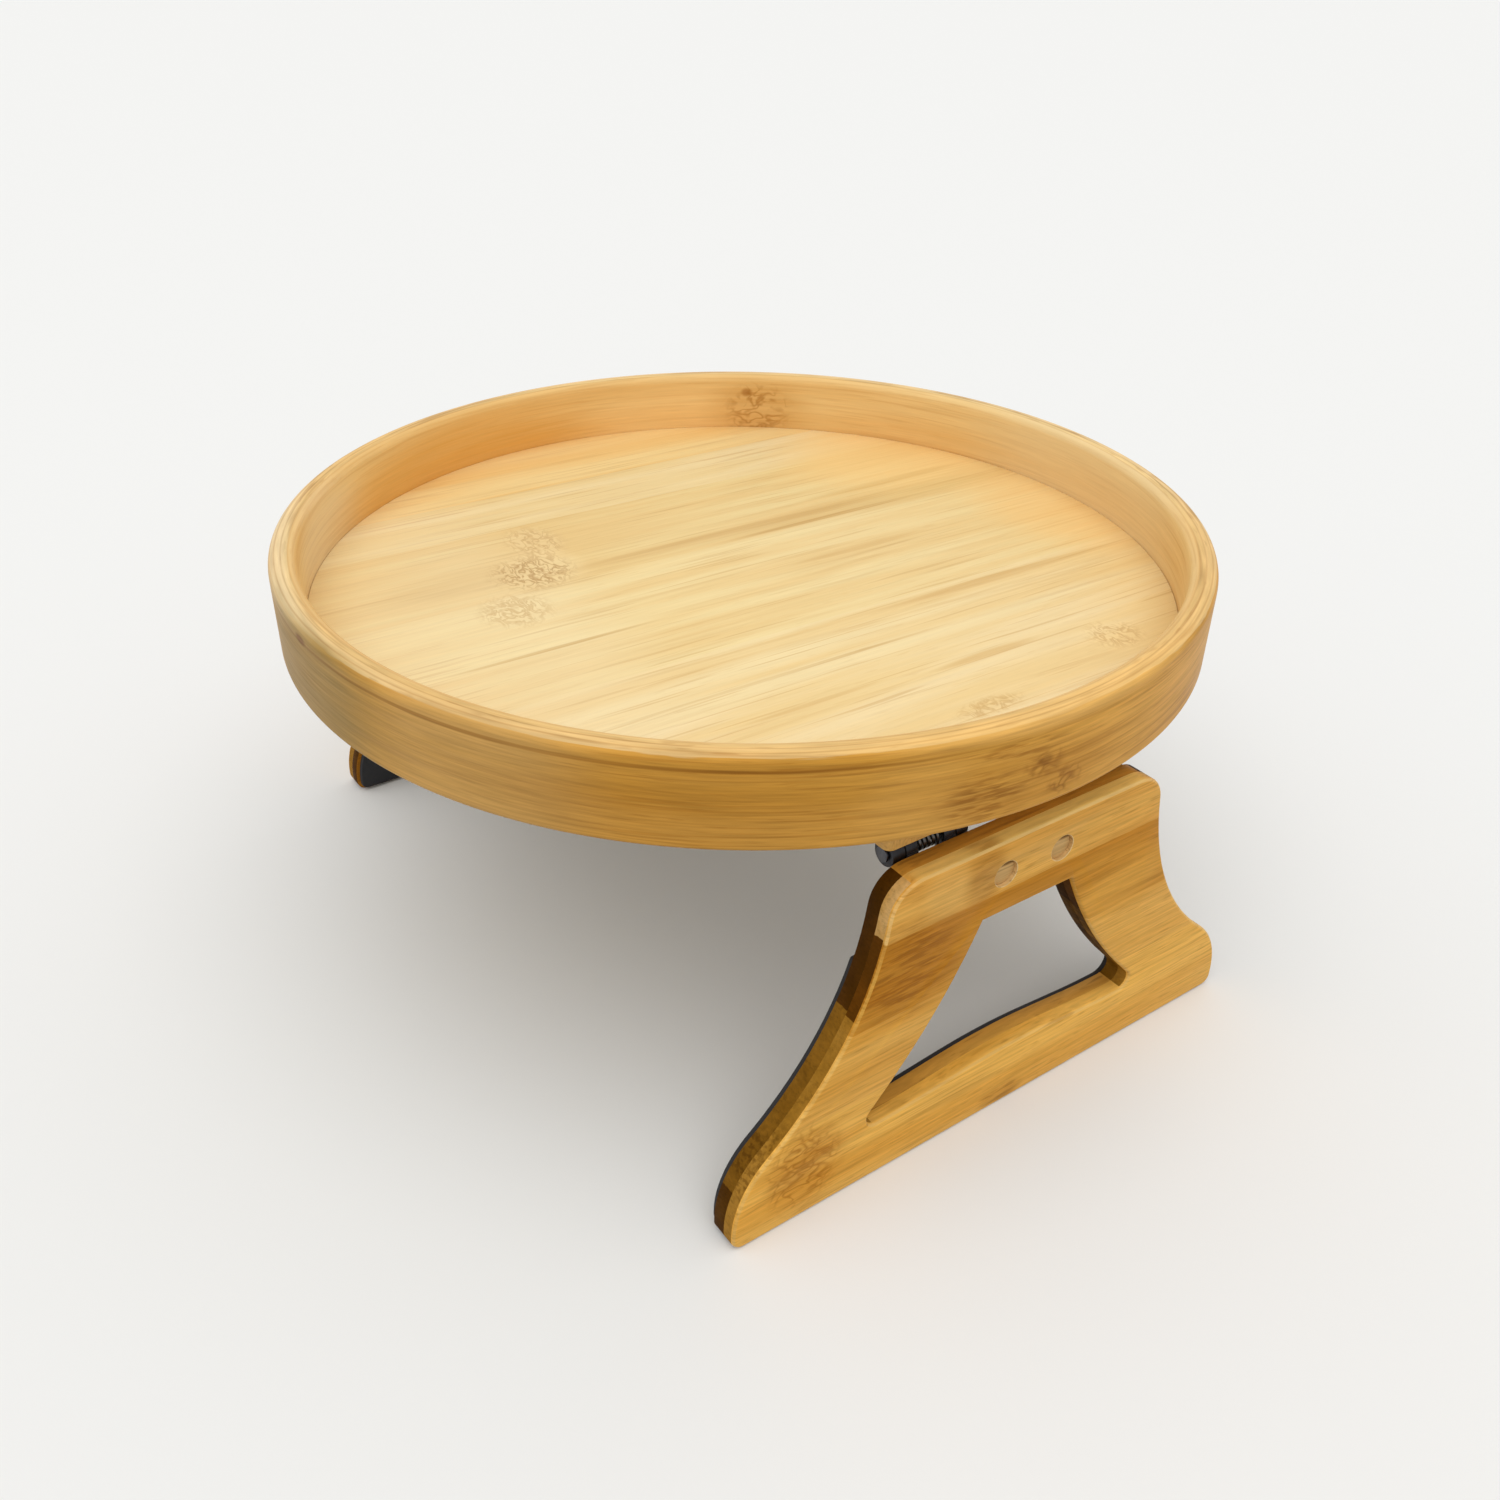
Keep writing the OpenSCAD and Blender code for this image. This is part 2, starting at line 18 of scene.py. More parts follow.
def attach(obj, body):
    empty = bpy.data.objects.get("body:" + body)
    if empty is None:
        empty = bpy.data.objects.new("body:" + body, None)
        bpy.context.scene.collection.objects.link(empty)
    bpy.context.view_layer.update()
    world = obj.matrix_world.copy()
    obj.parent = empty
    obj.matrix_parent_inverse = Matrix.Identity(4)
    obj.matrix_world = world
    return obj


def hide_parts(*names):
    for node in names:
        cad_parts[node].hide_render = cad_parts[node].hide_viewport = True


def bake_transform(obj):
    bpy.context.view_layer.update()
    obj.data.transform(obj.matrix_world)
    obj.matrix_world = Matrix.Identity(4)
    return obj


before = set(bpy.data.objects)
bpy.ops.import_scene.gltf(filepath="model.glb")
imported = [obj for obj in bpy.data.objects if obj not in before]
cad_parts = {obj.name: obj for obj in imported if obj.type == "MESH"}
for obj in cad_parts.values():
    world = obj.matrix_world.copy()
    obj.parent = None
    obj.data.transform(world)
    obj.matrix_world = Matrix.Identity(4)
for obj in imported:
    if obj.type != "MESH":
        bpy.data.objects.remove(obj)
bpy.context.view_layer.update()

MM = 0.001
# Corners nearer than this are merged, and edges flatter than this are dissolved
MERGE = 0.002 * MM
FLAT_ANGLE = radians(0.5)
# Edges sharper than this are rounded, and what stays sharper is shaded as a corner
SHARP_ANGLE = radians(32)
# Radius of the rim in mm, which its grain is measured along, and the angle where that starts
RIM_R = 125.0
RIM_START = radians(30)
# The sRGB curve: where its straight part ends and its slope, then the rest's offset and power
SRGB_LOW, SRGB_SLOPE, SRGB_OFFSET, SRGB_POWER = 0.04045, 12.92, 0.055, 2.4
# The colour Mix node's sockets go by number, because each of its names stands for several
SHARE, UNDER, OVER, MIXED = 0, 6, 7, 2
LOG = logging.getLogger("sofa_arm_tray")

Tree = bpy.types.NodeTree
Socket = bpy.types.NodeSocket
Material = bpy.types.Material
Mesh = bmesh.types.BMesh
Edge = bmesh.types.BMEdge


# Colours, nodes and finishes

def linear(hex_colour: str) -> tuple[float, float, float, float]:
    """Turn an sRGB hex colour into the linear colour that a socket takes.

    Args:
        hex_colour: six digits after a number sign.

    Returns:
        Linear red, green and blue, and an alpha of 1.
    """
    parts = []
    for at in (1, 3, 5):
        part = int(hex_colour[at:at + 2], 16) / 255
        if part <= SRGB_LOW:
            parts.append(part / SRGB_SLOPE)
        else:
            parts.append(((part + SRGB_OFFSET) / (1 + SRGB_OFFSET)) ** SRGB_POWER)
    return (*parts, 1.0)


def add_node(tree: Tree, kind: str, inputs: dict | None = None, output: int | str = 0,
             **settings: object) -> Socket:
    """Add a node with its settings, values and links.

    Args:
        tree: the node tree that gets the node.
        kind: the end of the node's type name, after ShaderNode.
        inputs: for each input socket's name or number, its value or the socket it is linked to.
        output: name or number of the output socket that is returned.
        settings: the node's own settings.

    Returns:
        That output socket of the new node.
    """
    node = tree.nodes.new("ShaderNode" + kind)
    for name, value in settings.items():
        setattr(node, name, value)
    for name, value in (inputs or {}).items():
        if isinstance(value, Socket):
            tree.links.new(value, node.inputs[name])
        else:
            node.inputs[name].default_value = value
    return node.outputs[output]


def new_material(name: str) -> tuple[Material, Tree, bpy.types.Node]:
    """Make a material that so far has only its shader.

    Args:
        name: its name.

    Returns:
        The material, its node tree and its shader.
    """
    material = bpy.data.materials.new(name)
    material.use_nodes = True
    return material, material.node_tree, material.node_tree.nodes["Principled BSDF"]


class Grain(Enum):
    """How the fibres lie in a piece of wood."""

    FLOOR = "along Y, strips side by side along X"
    BOARD = "along X, strips side by side along Y"
    LEG = "along Y, strips one below the other"
    RIM = "round the Z axis"


class MarkKind(Enum):
    """What a single mark in the wood is."""

    CURL = "node of the cane: thin curled lines"
    DASH = "cut fibre bundles: short dark dashes"
    # A streak is a stain, except the dark line under the rim's rounded top, which is painted shade.
    STREAK = "stain that follows the fibres"
    # Some patches are painted light and shade: on the rim's outer wall and top, the legs' top edges and
    # the dowels.
    PATCH = "paler, warmer, darker or greyer patch of wood"


CURL, DASH, STREAK, PATCH = MarkKind
# For each kind of mark: the noise where it starts and where it is full, and how much of it shows
# outside its lines. A curl's noise is its distance from a contour, so it is full at 0.
MARK_SPANS = {CURL: (0.1, 0.0, 0.1), DASH: (0.46, 0.6, 0.12), STREAK: (0.3, 0.62, 0.35),
              PATCH: (0.3, 0.7, 0.8)}
# Where a mark has faded out and where it is full, in half sizes from its middle
MARK_END, MARK_CORE = 1.15, 0.45
# The seed moves a pattern this way
SHIFT_WAY = (1.0, 0.7, 1.3)
# Noise where warm bands, streaks and flecks start and are full, and how fast thin lines fade in
BAND_SPAN, STREAK_SPAN, FLECK_SPAN, LINE_FADE = (0.36, 0.64), (0.52, 0.82), (0.6, 0.74), 0.1
# Noise between two fibres and on one, how much rougher and smoother they are, and their height
FIBRE_SPAN, GAP_ROUGHER, FIBRE_SMOOTHER, FIBRE_RELIEF = (0.3, 0.7), 0.06, 0.04, 0.05 * MM
# How far the fibres fray the joints of plies and strips, and half a joint's width, in mm
PLY_FRAY, STRIP_FRAY, JOINT_HALF = 1.4, 0.8, 0.1
# Half the width of a glue line in mm, and how much of its colour shows
GLUE_HALF, GLUE_SHARE = 0.35, 0.3


@dataclass(frozen=True)
class Figure:
    """Sizes of one kind of line in the grain, in mm.

    Attributes:
        long: its size along the fibres.
        wide: its size across them.
        deep: its size into the wood.
        detail: octaves of finer noise.
        shift: moves the pattern, so that no two kinds of line follow each other.
        curl: how far its lines curl.
    """

    long: float
    wide: float
    deep: float
    detail: float = 2.0
    shift: float = 0.0
    curl: float = 0.0


# The split canes are 6 to 12 mm across, and each is paler or warmer than the next.
BANDS = Figure(170, 10, 10)
# Brown streaks 1 to 3 mm across and up to 80 mm long.
STREAKS = Figure(75, 2.4, 4, detail=3, shift=3.1)
# Thin dark lines 0.4 to 0.6 mm across and 40 to 60 mm long, far apart.
LINES = Figure(52, 1.1, 2, detail=1, shift=17.9)
FINE_LINES = Figure(34, 0.75, 1.4, detail=1, shift=17.9)
# The real fibres are 0.2 to 0.4 mm across. They are drawn 0.6 to 1 mm across so that they show.
FIBRES = Figure(24, 1.0, 1.6, detail=3, shift=7.7)
FINE_FIBRES = Figure(15, 0.6, 1.2, detail=3, shift=7.7)
# Short dark flecks, where single fibre bundles come to the surface.
FLECKS = Figure(7, 0.6, 1.2, detail=1, shift=23.3)
DASHES = Figure(8, 1.0, 1.6, detail=2, shift=29.1)
# Lines of the cane's nodes, as round a branch scar. On the floor they run across the fibres.
CURLS = Figure(5.5, 3.4, 4, detail=1, shift=11.3, curl=0.8)
FLOOR_CURLS = Figure(2.8, 4.6, 6, detail=2, shift=12.6, curl=1.0)


@dataclass(frozen=True)
class Mark:
    """One mark at a known place in the wood. All its sizes are in mm.

    Attributes:
        kind: curl, dash, streak or patch.
        along: its middle along the fibres.
        across: its middle across the fibres.
        half_along: half its length.
        half_across: half its width.
        ink: its colour.
        share: how much of its colour shows, from 0 to 1.
        depth: its middle into the wood.
        half_depth: half its height into the wood.
    """

    kind: MarkKind
    along: float
    across: float
    half_along: float
    half_across: float
    ink: str
    share: float
    depth: float = 0.0
    half_depth: float = 1000.0


@dataclass(frozen=True)
class Strip:
    """One glued strip of a lamination, or one ply of the rim.

    Attributes:
        end: where it ends across the fibres, or the ply's outer radius, in mm. It runs from
            there towards lower numbers.
        pale: its pale colour.
        warm: its warm colour.
    """

    end: float
    pale: str
    warm: str


@dataclass(frozen=True)
class Wood:
    """Bamboo or beech under a satin lacquer: fibres, bands, streaks, knots and glued strips.

    Attributes:
        name: the material's name.
        grain: how its fibres lie.
        pale: colour of its pale bands.
        warm: colour of its warm bands.
        streak: colour of its brown streaks and lines.
        strips: its glued strips after the first, from high to low.
        marks: its knots, stains and patches, some of them painted light and shade.
        glue_lines: radii of the glue lines between the rim's plies, in mm.
        fibres: sizes of its fibres.
        lines: sizes of its thin lines.
        curls: sizes of the curled lines in its knots.
        streak_share: how much of the streaks' colour shows.
        line_share: how much of the thin lines' colour shows.
        line_start: how high the noise is where a thin line starts.
        fleck_share: how much of the flecks' colour shows.
        fibre_contrast: how far the fibres darken the wood.
        roughness: roughness of the lacquer.
        gloss: how strongly the lacquer reflects.
        tilt: angle of its fibres to the axis that they follow, in degrees.
        seed: moves all its patterns.
    """

    name: str
    grain: Grain
    pale: str
    warm: str
    streak: str
    strips: tuple[Strip, ...] = ()
    marks: tuple[Mark, ...] = ()
    glue_lines: tuple[float, ...] = ()
    fibres: Figure = FINE_FIBRES
    lines: Figure = FINE_LINES
    curls: Figure = CURLS
    streak_share: float = 0.3
    line_share: float = 0.4
    line_start: float = 0.6
    fleck_share: float = 0.25
    fibre_contrast: float = 0.16
    roughness: float = 0.42
    gloss: float = 0.15
    tilt: float = 0.0
    seed: float = 0.0

    def coordinates(self, tree: Tree) -> dict[str, Socket]:
        """Make the coordinates that the patterns read, in millimetres.

        Args:
            tree: the material's node tree.

        Returns:
            The sockets place, across, depth, and grain, which is the vector of the places
            along, across and into the wood.
        """
        place = add_node(tree, "VectorMath",
                         {0: add_node(tree, "TexCoord", output="Object"),
                          1: (1 / MM, 1 / MM, 1 / MM)}, operation="MULTIPLY")
        place = add_node(tree, "VectorRotate", {"Vector": place, "Angle": radians(self.tilt)},
                         rotation_type="Z_AXIS")
        axes = add_node(tree, "SeparateXYZ", {0: place}).node.outputs
        if self.grain is Grain.RIM:
            angle = add_node(tree, "Math", {0: axes["Y"], 1: axes["X"]}, operation="ARCTAN2")
            turn = add_node(tree, "Math", {0: angle, 1: RIM_START, 2: RIM_START - 2 * pi},
                            operation="WRAP")
            along = add_node(tree, "Math", {0: turn, 1: RIM_R}, operation="MULTIPLY")
            flat = add_node(tree, "CombineXYZ", {0: axes["X"], 1: axes["Y"]})
            depth = add_node(tree, "VectorMath", {0: flat}, output="Value", operation="LENGTH")
            across = axes["Z"]
        else:
            order = {Grain.FLOOR: "YXZ", Grain.BOARD: "XYZ", Grain.LEG: "YZX"}[self.grain]
            along, across, depth = (axes[letter] for letter in order)
        grain = add_node(tree, "CombineXYZ", {0: along, 1: across, 2: depth})
        return {"place": place, "across": across, "depth": depth, "grain": grain}

    def drawn(self, tree: Tree, at: dict[str, Socket], figure: Figure) -> Socket:
        """Draw one kind of line as noise that is stretched along the fibres.

        Args:
            tree: the material's node tree.
            at: the coordinates.
            figure: the line's sizes.

        Returns:
            The noise, from 0 to 1.
        """
        along, across, deep = 1 / figure.long, 1 / figure.wide, 1 / figure.deep
        scales = {Grain.FLOOR: (across, along, deep), Grain.BOARD: (along, across, deep),
                  Grain.LEG: (deep, along, across), Grain.RIM: (along, along, across)}[self.grain]
        moved = self.seed + figure.shift
        stretched = add_node(tree, "Mapping", {
            "Vector": at["place"], "Location": tuple(moved * part for part in SHIFT_WAY),
            "Scale": scales})
        inputs = {"Vector": stretched, "Scale": 1.0, "Detail": figure.detail, "Roughness": 0.55,
                  "Distortion": figure.curl}
        if self.grain is not Grain.RIM:
            return add_node(tree, "TexNoise", inputs)
        # The fourth dimension is the radius, so that each ply has its own fibres and the pattern
        # has no seam where the angle wraps.
        inputs["W"] = add_node(tree, "Math", {0: at["depth"], 1: figure.deep}, operation="DIVIDE")
        return add_node(tree, "TexNoise", inputs, noise_dimensions="4D")

    def inked(self, tree: Tree, colour: Socket, noise: Socket, span: tuple[float, float],
              share: float) -> Socket:
        """Lay the streaks' colour over the wood where a noise is high.

        Args:
            tree: the material's node tree.
            colour: the wood's colour so far.
            noise: the noise.
            span: its values where the ink starts and where it is full.
            share: how much of the ink shows there.

        Returns:
            The wood's colour with the ink.
        """
        start, full = span
        amount = add_node(tree, "MapRange", {"Value": noise, "From Min": start, "From Max": full,
                                             "To Max": share}, interpolation_type="SMOOTHSTEP")
        return add_node(tree, "Mix", {SHARE: amount, UNDER: colour, OVER: linear(self.streak)},
                        output=MIXED, data_type="RGBA")

    @cache
    def build(self) -> Material:
        """Make the material, once for all the pieces that have it.

        Returns:
            The finished material.
        """
        material, tree, shader = new_material(self.name)
        at = self.coordinates(tree)
        fibres = self.drawn(tree, at, self.fibres)
        streaks = self.drawn(tree, at, STREAKS)
        colour = self.lay_strips(tree, at, fibres)
        line_span = (self.line_start, self.line_start + LINE_FADE)
        for noise, span, share in (
                (streaks, STREAK_SPAN, self.streak_share),
                (self.drawn(tree, at, self.lines), line_span, self.line_share),
                (self.drawn(tree, at, FLECKS), FLECK_SPAN, self.fleck_share)):
            colour = self.inked(tree, colour, noise, span, share)
        colour = self.lay_marks(tree, at, colour, streaks)
        colour = self.lay_glue(tree, at, colour)
        gap, fibre = FIBRE_SPAN
        shade = add_node(tree, "MapRange", {
            "Value": fibres, "From Min": gap, "From Max": fibre,
            "To Min": 1 - self.fibre_contrast, "To Max": 1 + self.fibre_contrast / 2})
        colour = add_node(tree, "Mix", {SHARE: 1.0, UNDER: colour, OVER: shade},
                          output=MIXED, data_type="RGBA", blend_type="MULTIPLY")
        rough = add_node(tree, "MapRange", {
            "Value": fibres, "From Min": gap, "From Max": fibre,
            "To Min": self.roughness + GAP_ROUGHER, "To Max": self.roughness - FIBRE_SMOOTHER})
        bump = add_node(tree, "Bump", {"Height": fibres, "Strength": 0.25,
                                       "Distance": FIBRE_RELIEF})
        tree.links.new(colour, shader.inputs["Base Color"])
        tree.links.new(rough, shader.inputs["Roughness"])
        tree.links.new(bump, shader.inputs["Normal"])
        shader.inputs["Specular IOR Level"].default_value = self.gloss
        shader.inputs["Coat Weight"].default_value = self.gloss / 4
        shader.inputs["Coat Roughness"].default_value = 0.28
        return material

    def lay_strips(self, tree: Tree, at: dict[str, Socket], fibres: Socket) -> Socket:
        """Colour the pale and warm bands of each glued strip.

        Args:
            tree: the material's node tree.
            at: the coordinates.
            fibres: the fibre noise, which frays each glue line a little.

        Returns:
            The wood's colour.
        """
        pale, warm = BAND_SPAN
        band = add_node(tree, "MapRange", {"Value": self.drawn(tree, at, BANDS), "From Min": pale,
                                           "From Max": warm}, interpolation_type="SMOOTHSTEP")
        colour = add_node(tree, "Mix", {SHARE: band, UNDER: linear(self.pale),
                                        OVER: linear(self.warm)},
                          output=MIXED, data_type="RGBA")
        if not self.strips:
            return colour
        side, fray = ("depth", PLY_FRAY) if self.grain is Grain.RIM else ("across", STRIP_FRAY)
        edge = add_node(tree, "Math", {0: fibres, 1: fray, 2: at[side]}, operation="MULTIPLY_ADD")
        for strip in self.strips:
            end = strip.end + fray / 2
            inside = add_node(tree, "MapRange", {"Value": edge, "From Min": end + JOINT_HALF,
                                                 "From Max": end - JOINT_HALF},
                              interpolation_type="SMOOTHSTEP")
            own = add_node(tree, "Mix", {SHARE: band, UNDER: linear(strip.pale),
                                         OVER: linear(strip.warm)},
                           output=MIXED, data_type="RGBA")
            colour = add_node(tree, "Mix", {SHARE: inside, UNDER: colour, OVER: own},
                              output=MIXED, data_type="RGBA")
        return colour

    def lay_marks(self, tree: Tree, at: dict[str, Socket], colour: Socket,
                  streaks: Socket) -> Socket:
        """Add the knots, stains and warmer patches, and the painted light and shade that some marks stand
        for.

        Args:
            tree: the material's node tree.
            at: the coordinates.
            colour: the wood's colour so far.
            streaks: the streak noise, which breaks up the stains.

        Returns:
            The colour with its marks.
        """
        if not self.marks:
            return colour
        # Curled lines run where their noise passes 0.5, so they are thin, like contours.
        curls = add_node(tree, "Math", {0: self.drawn(tree, at, self.curls), 1: 0.5},
                         operation="SUBTRACT")
        curls = add_node(tree, "Math", {0: curls}, operation="ABSOLUTE")
        dashes = self.drawn(tree, at, DASHES)
        noises = {CURL: curls, DASH: dashes, STREAK: streaks, PATCH: streaks}
        inks = {}
        for kind, (low, high, least) in MARK_SPANS.items():
            inks[kind] = add_node(tree, "MapRange", {
                "Value": noises[kind], "From Min": low, "From Max": high, "To Min": least})
        for mark in self.marks:
            centre = (mark.along, mark.across, mark.depth)
            halves = (mark.half_along, mark.half_across, mark.half_depth)
            local = add_node(tree, "Mapping", {
                "Vector": at["grain"],
                "Location": tuple(-middle / half for middle, half in zip(centre, halves)),
                "Scale": tuple(1 / half for half in halves)})
            reach = add_node(tree, "VectorMath", {0: local}, output="Value", operation="LENGTH")
            mask = add_node(tree, "MapRange", {"Value": reach, "From Min": MARK_END,
                                               "From Max": MARK_CORE, "To Max": mark.share},
                            interpolation_type="SMOOTHSTEP")
            share = add_node(tree, "Math", {0: mask, 1: inks[mark.kind]}, operation="MULTIPLY")
            colour = add_node(tree, "Mix", {SHARE: share, UNDER: colour, OVER: linear(mark.ink)},
                              output=MIXED, data_type="RGBA")
        return colour

    def lay_glue(self, tree: Tree, at: dict[str, Socket], colour: Socket) -> Socket:
        """Draw the glue lines between the rim's plies, each a soft line 0.7 mm across.

        Args:
            tree: the material's node tree.
            at: the coordinates.
            colour: the wood's colour so far.

        Returns:
            The colour with its glue lines.
        """
        for radius in self.glue_lines:
            off = add_node(tree, "Math", {0: at["depth"], 1: radius}, operation="SUBTRACT")
            off = add_node(tree, "Math", {0: off}, operation="ABSOLUTE")
            colour = self.inked(tree, colour, off, (GLUE_HALF, 0.0), GLUE_SHARE)
        return colour


@dataclass(frozen=True)
class Rubber:
    """Moulded black rubber: matt, with a fine pebbled skin that catches a faint grey sheen."""

    name: str = "moulded black rubber"
    colour: str = "#1C1C1E"
    dusty: str = "#2B2B2D"
    pebble_mm: float = 0.9
    dust_mm: float = 14.0

    @cache
    def build(self) -> Material:
        """Make the material, once for all the pieces that have it.

        Returns:
            The finished material.
        """
        material, tree, shader = new_material(self.name)
        place = add_node(tree, "TexCoord", output="Object")
        pebbles = add_node(tree, "TexVoronoi", {"Vector": place, "Scale": 1 / (self.pebble_mm * MM)})
        dust = add_node(tree, "TexNoise", {"Vector": place, "Scale": 1 / (self.dust_mm * MM)})
        colour = add_node(tree, "Mix", {SHARE: dust, UNDER: linear(self.colour),
                                        OVER: linear(self.dusty)},
                          output=MIXED, data_type="RGBA")
        bump = add_node(tree, "Bump", {"Height": pebbles, "Strength": 0.35, "Distance": 0.08 * MM})
        tree.links.new(colour, shader.inputs["Base Color"])
        tree.links.new(bump, shader.inputs["Normal"])
        shader.inputs["Roughness"].default_value = 0.78
        return material


@dataclass(frozen=True)
class Steel:
    """Steel with a plated or oiled skin: fine grinding lines and a few worn, brighter places."""

    name: str
    colour: str
    worn: str
    roughness: float
    line_mm: float = 0.25
    worn_mm: float = 3.0
    glint: float = 0.08

    @cache
    def build(self) -> Material:
        """Make the material, once for all the pieces that have it.

        Returns:
            The finished material.
        """
        material, tree, shader = new_material(self.name)
        place = add_node(tree, "TexCoord", output="Object")
        stretched = add_node(tree, "Mapping", {"Vector": place, "Scale": (1.0, 0.08, 1.0)})
        lines = add_node(tree, "TexNoise", {"Vector": stretched, "Detail": 3.0,
                                            "Scale": 1 / (self.line_mm * MM)})
        patches = add_node(tree, "TexNoise", {"Vector": place, "Scale": 1 / (self.worn_mm * MM)})
        colour = add_node(tree, "Mix", {SHARE: patches, UNDER: linear(self.colour),
                                        OVER: linear(self.worn)},
                          output=MIXED, data_type="RGBA")
        rough = add_node(tree, "MapRange", {"Value": lines, "To Min": self.roughness - self.glint,
                                            "To Max": self.roughness + self.glint})
        tree.links.new(colour, shader.inputs["Base Color"])
        tree.links.new(rough, shader.inputs["Roughness"])
        shader.inputs["Metallic"].default_value = 1.0
        return material


# Carbonised bamboo, split into strips, glued edge to edge, sanded and lacquered: pale straw with
# long brown lines, warmer towards the far edge, and a soft wide highlight.
FLOOR_BAMBOO = Wood(
    "carbonised bamboo, sanded and lacquered floor", Grain.FLOOR,
    pale="#F3DCA9", warm="#EED194", streak="#CBA05C", tilt=1.8, curls=FLOOR_CURLS,
    fibres=FIBRES, lines=LINES, streak_share=0.36, line_share=0.36, fibre_contrast=0.04,
    fleck_share=0.12, gloss=0.2,
    strips=(Strip(62, "#F2DBA5", "#EDCE90"), Strip(36, "#F1D99E", "#EBCB8B"),
            Strip(-18, "#EFD698", "#E8C684"), Strip(-60, "#F4DFAC", "#EDD296"),
            Strip(-84, "#F5D898", "#F1CA82")),
    marks=(
        Mark(PATCH, -85, -10, 48, 110, "#F7E6BC", 0.3), Mark(PATCH, 92, -52, 44, 36, "#FAD28A", 0.8),
        Mark(PATCH, 108, 12, 26, 40, "#F8CC84", 0.6), Mark(PATCH, 10, -112, 70, 20, "#F8D08C", 0.3),
        Mark(PATCH, -65, -10, 11, 11, "#F6E0AC", 0.5), Mark(PATCH, -48, -30, 13, 13, "#F8DFA6", 0.6),
        Mark(PATCH, -42, -47, 9, 12, "#F5D9A0", 0.5), Mark(PATCH, 61, 82, 10, 10, "#F8DDA0", 0.5),
        Mark(STREAK, 10, -24, 65, 2.6, "#CBA05C", 0.65), Mark(STREAK, 60, -21, 60, 7, "#CFA65E", 0.4),
        Mark(STREAK, 45, -19, 42, 1.2, "#C0924A", 0.7), Mark(STREAK, 75, -33, 34, 2.4, "#CFA45A", 0.5),
        Mark(STREAK, -72, -33, 26, 8, "#D2AC70", 0.35), Mark(STREAK, 38, 4, 26, 2.0, "#CFA25A", 0.5),
        Mark(STREAK, -66, 14, 32, 0.9, "#C0924A", 0.7), Mark(STREAK, -30, 1, 36, 0.8, "#C89C56", 0.5),
        Mark(STREAK, 60, 40, 46, 2.2, "#CFA25A", 0.55), Mark(STREAK, -22, 55, 52, 0.8, "#C0924A", 0.7),
        Mark(STREAK, 26, 73, 18, 2.0, "#CFA25A", 0.6), Mark(STREAK, -26, 70, 22, 1.0, "#CFA25A", 0.5),
        Mark(CURL, -42, -47, 9, 13, "#BC9050", 0.55), Mark(CURL, -51, -29, 13, 12, "#AC7C3C", 0.75),
        Mark(CURL, -65, -10, 11, 11, "#BE9250", 0.5), Mark(CURL, 61, 82, 9, 8, "#BC8C46", 0.5),
        Mark(CURL, 9, 93, 11, 4, "#BE9048", 0.5)))
# Carbonised bamboo plies, steam bent, glued into a hoop, turned and lacquered: amber with dense
# fine fibres on the wall, and paler plies with faint glue lines on the rounded top.
RIM_BAMBOO = Wood(
    "carbonised bamboo, steam bent and lacquered hoop", Grain.RIM,
    pale="#E6AB4E", warm="#D79C3D", streak="#9C5E10", seed=5.0, gloss=0.1,
    line_share=0.32, line_start=0.55, fibre_contrast=0.18, glue_lines=(119.9, 121.7, 123.3),
    strips=(Strip(124.3, "#F3D196", "#ECC27C"), Strip(121.7, "#EFCE8E", "#E6BC76")),
    marks=(
        # Painted shade and a painted grey reflection: these two patches darken and grey the left of the
        # outer wall.
        Mark(PATCH, -136, 110, 34, 30, "#CFA462", 0.75, RIM_R, 4),
        Mark(PATCH, -196, 110, 40, 30, "#A0844A", 0.85, RIM_R, 4),
        Mark(PATCH, 0, 124, 56, 5, "#F9C776", 0.6, 123.5, 4),
        # Painted highlight: this pale patch brightens the outer top edge at the near left.
        Mark(PATCH, -235, 124, 52, 5, "#F8E2B4", 0.5, 123.5, 4),
        Mark(PATCH, -39, 107, 16, 16, "#D6A254", 0.4, RIM_R, 4),
        # Painted shade: this patch darkens the near middle of the outer wall.
        Mark(PATCH, -84, 108, 46, 22, "#AE7628", 0.35, RIM_R, 4),
        Mark(STREAK, -13, 109, 30, 10, "#AC6E16", 0.42, RIM_R, 4),
        Mark(DASH, -23, 107, 13, 7, "#8A5008", 0.6, RIM_R, 4),
        Mark(DASH, -16, 117, 14, 3, "#9A5E10", 0.6, RIM_R, 4),
        Mark(CURL, -8.5, 111.5, 6, 4, "#8A5008", 0.6, RIM_R, 4),
        Mark(CURL, -2, 105.5, 6, 4, "#8A5008", 0.6, RIM_R, 4),
        Mark(PATCH, -8.5, 112.5, 2.4, 1.6, "#7E4A0A", 0.6, RIM_R, 4),
        Mark(PATCH, -195, 120.3, 3.4, 1.4, "#7E4A0A", 0.8, RIM_R, 4),
        # Painted shade: this dark line runs round the outer wall just under the rounded top.
        Mark(STREAK, -120, 119.9, 110, 0.6, "#8A5410", 0.7, RIM_R, 3),
        Mark(STREAK, -95, 109, 50, 8, "#A87020", 0.25, RIM_R, 4)))
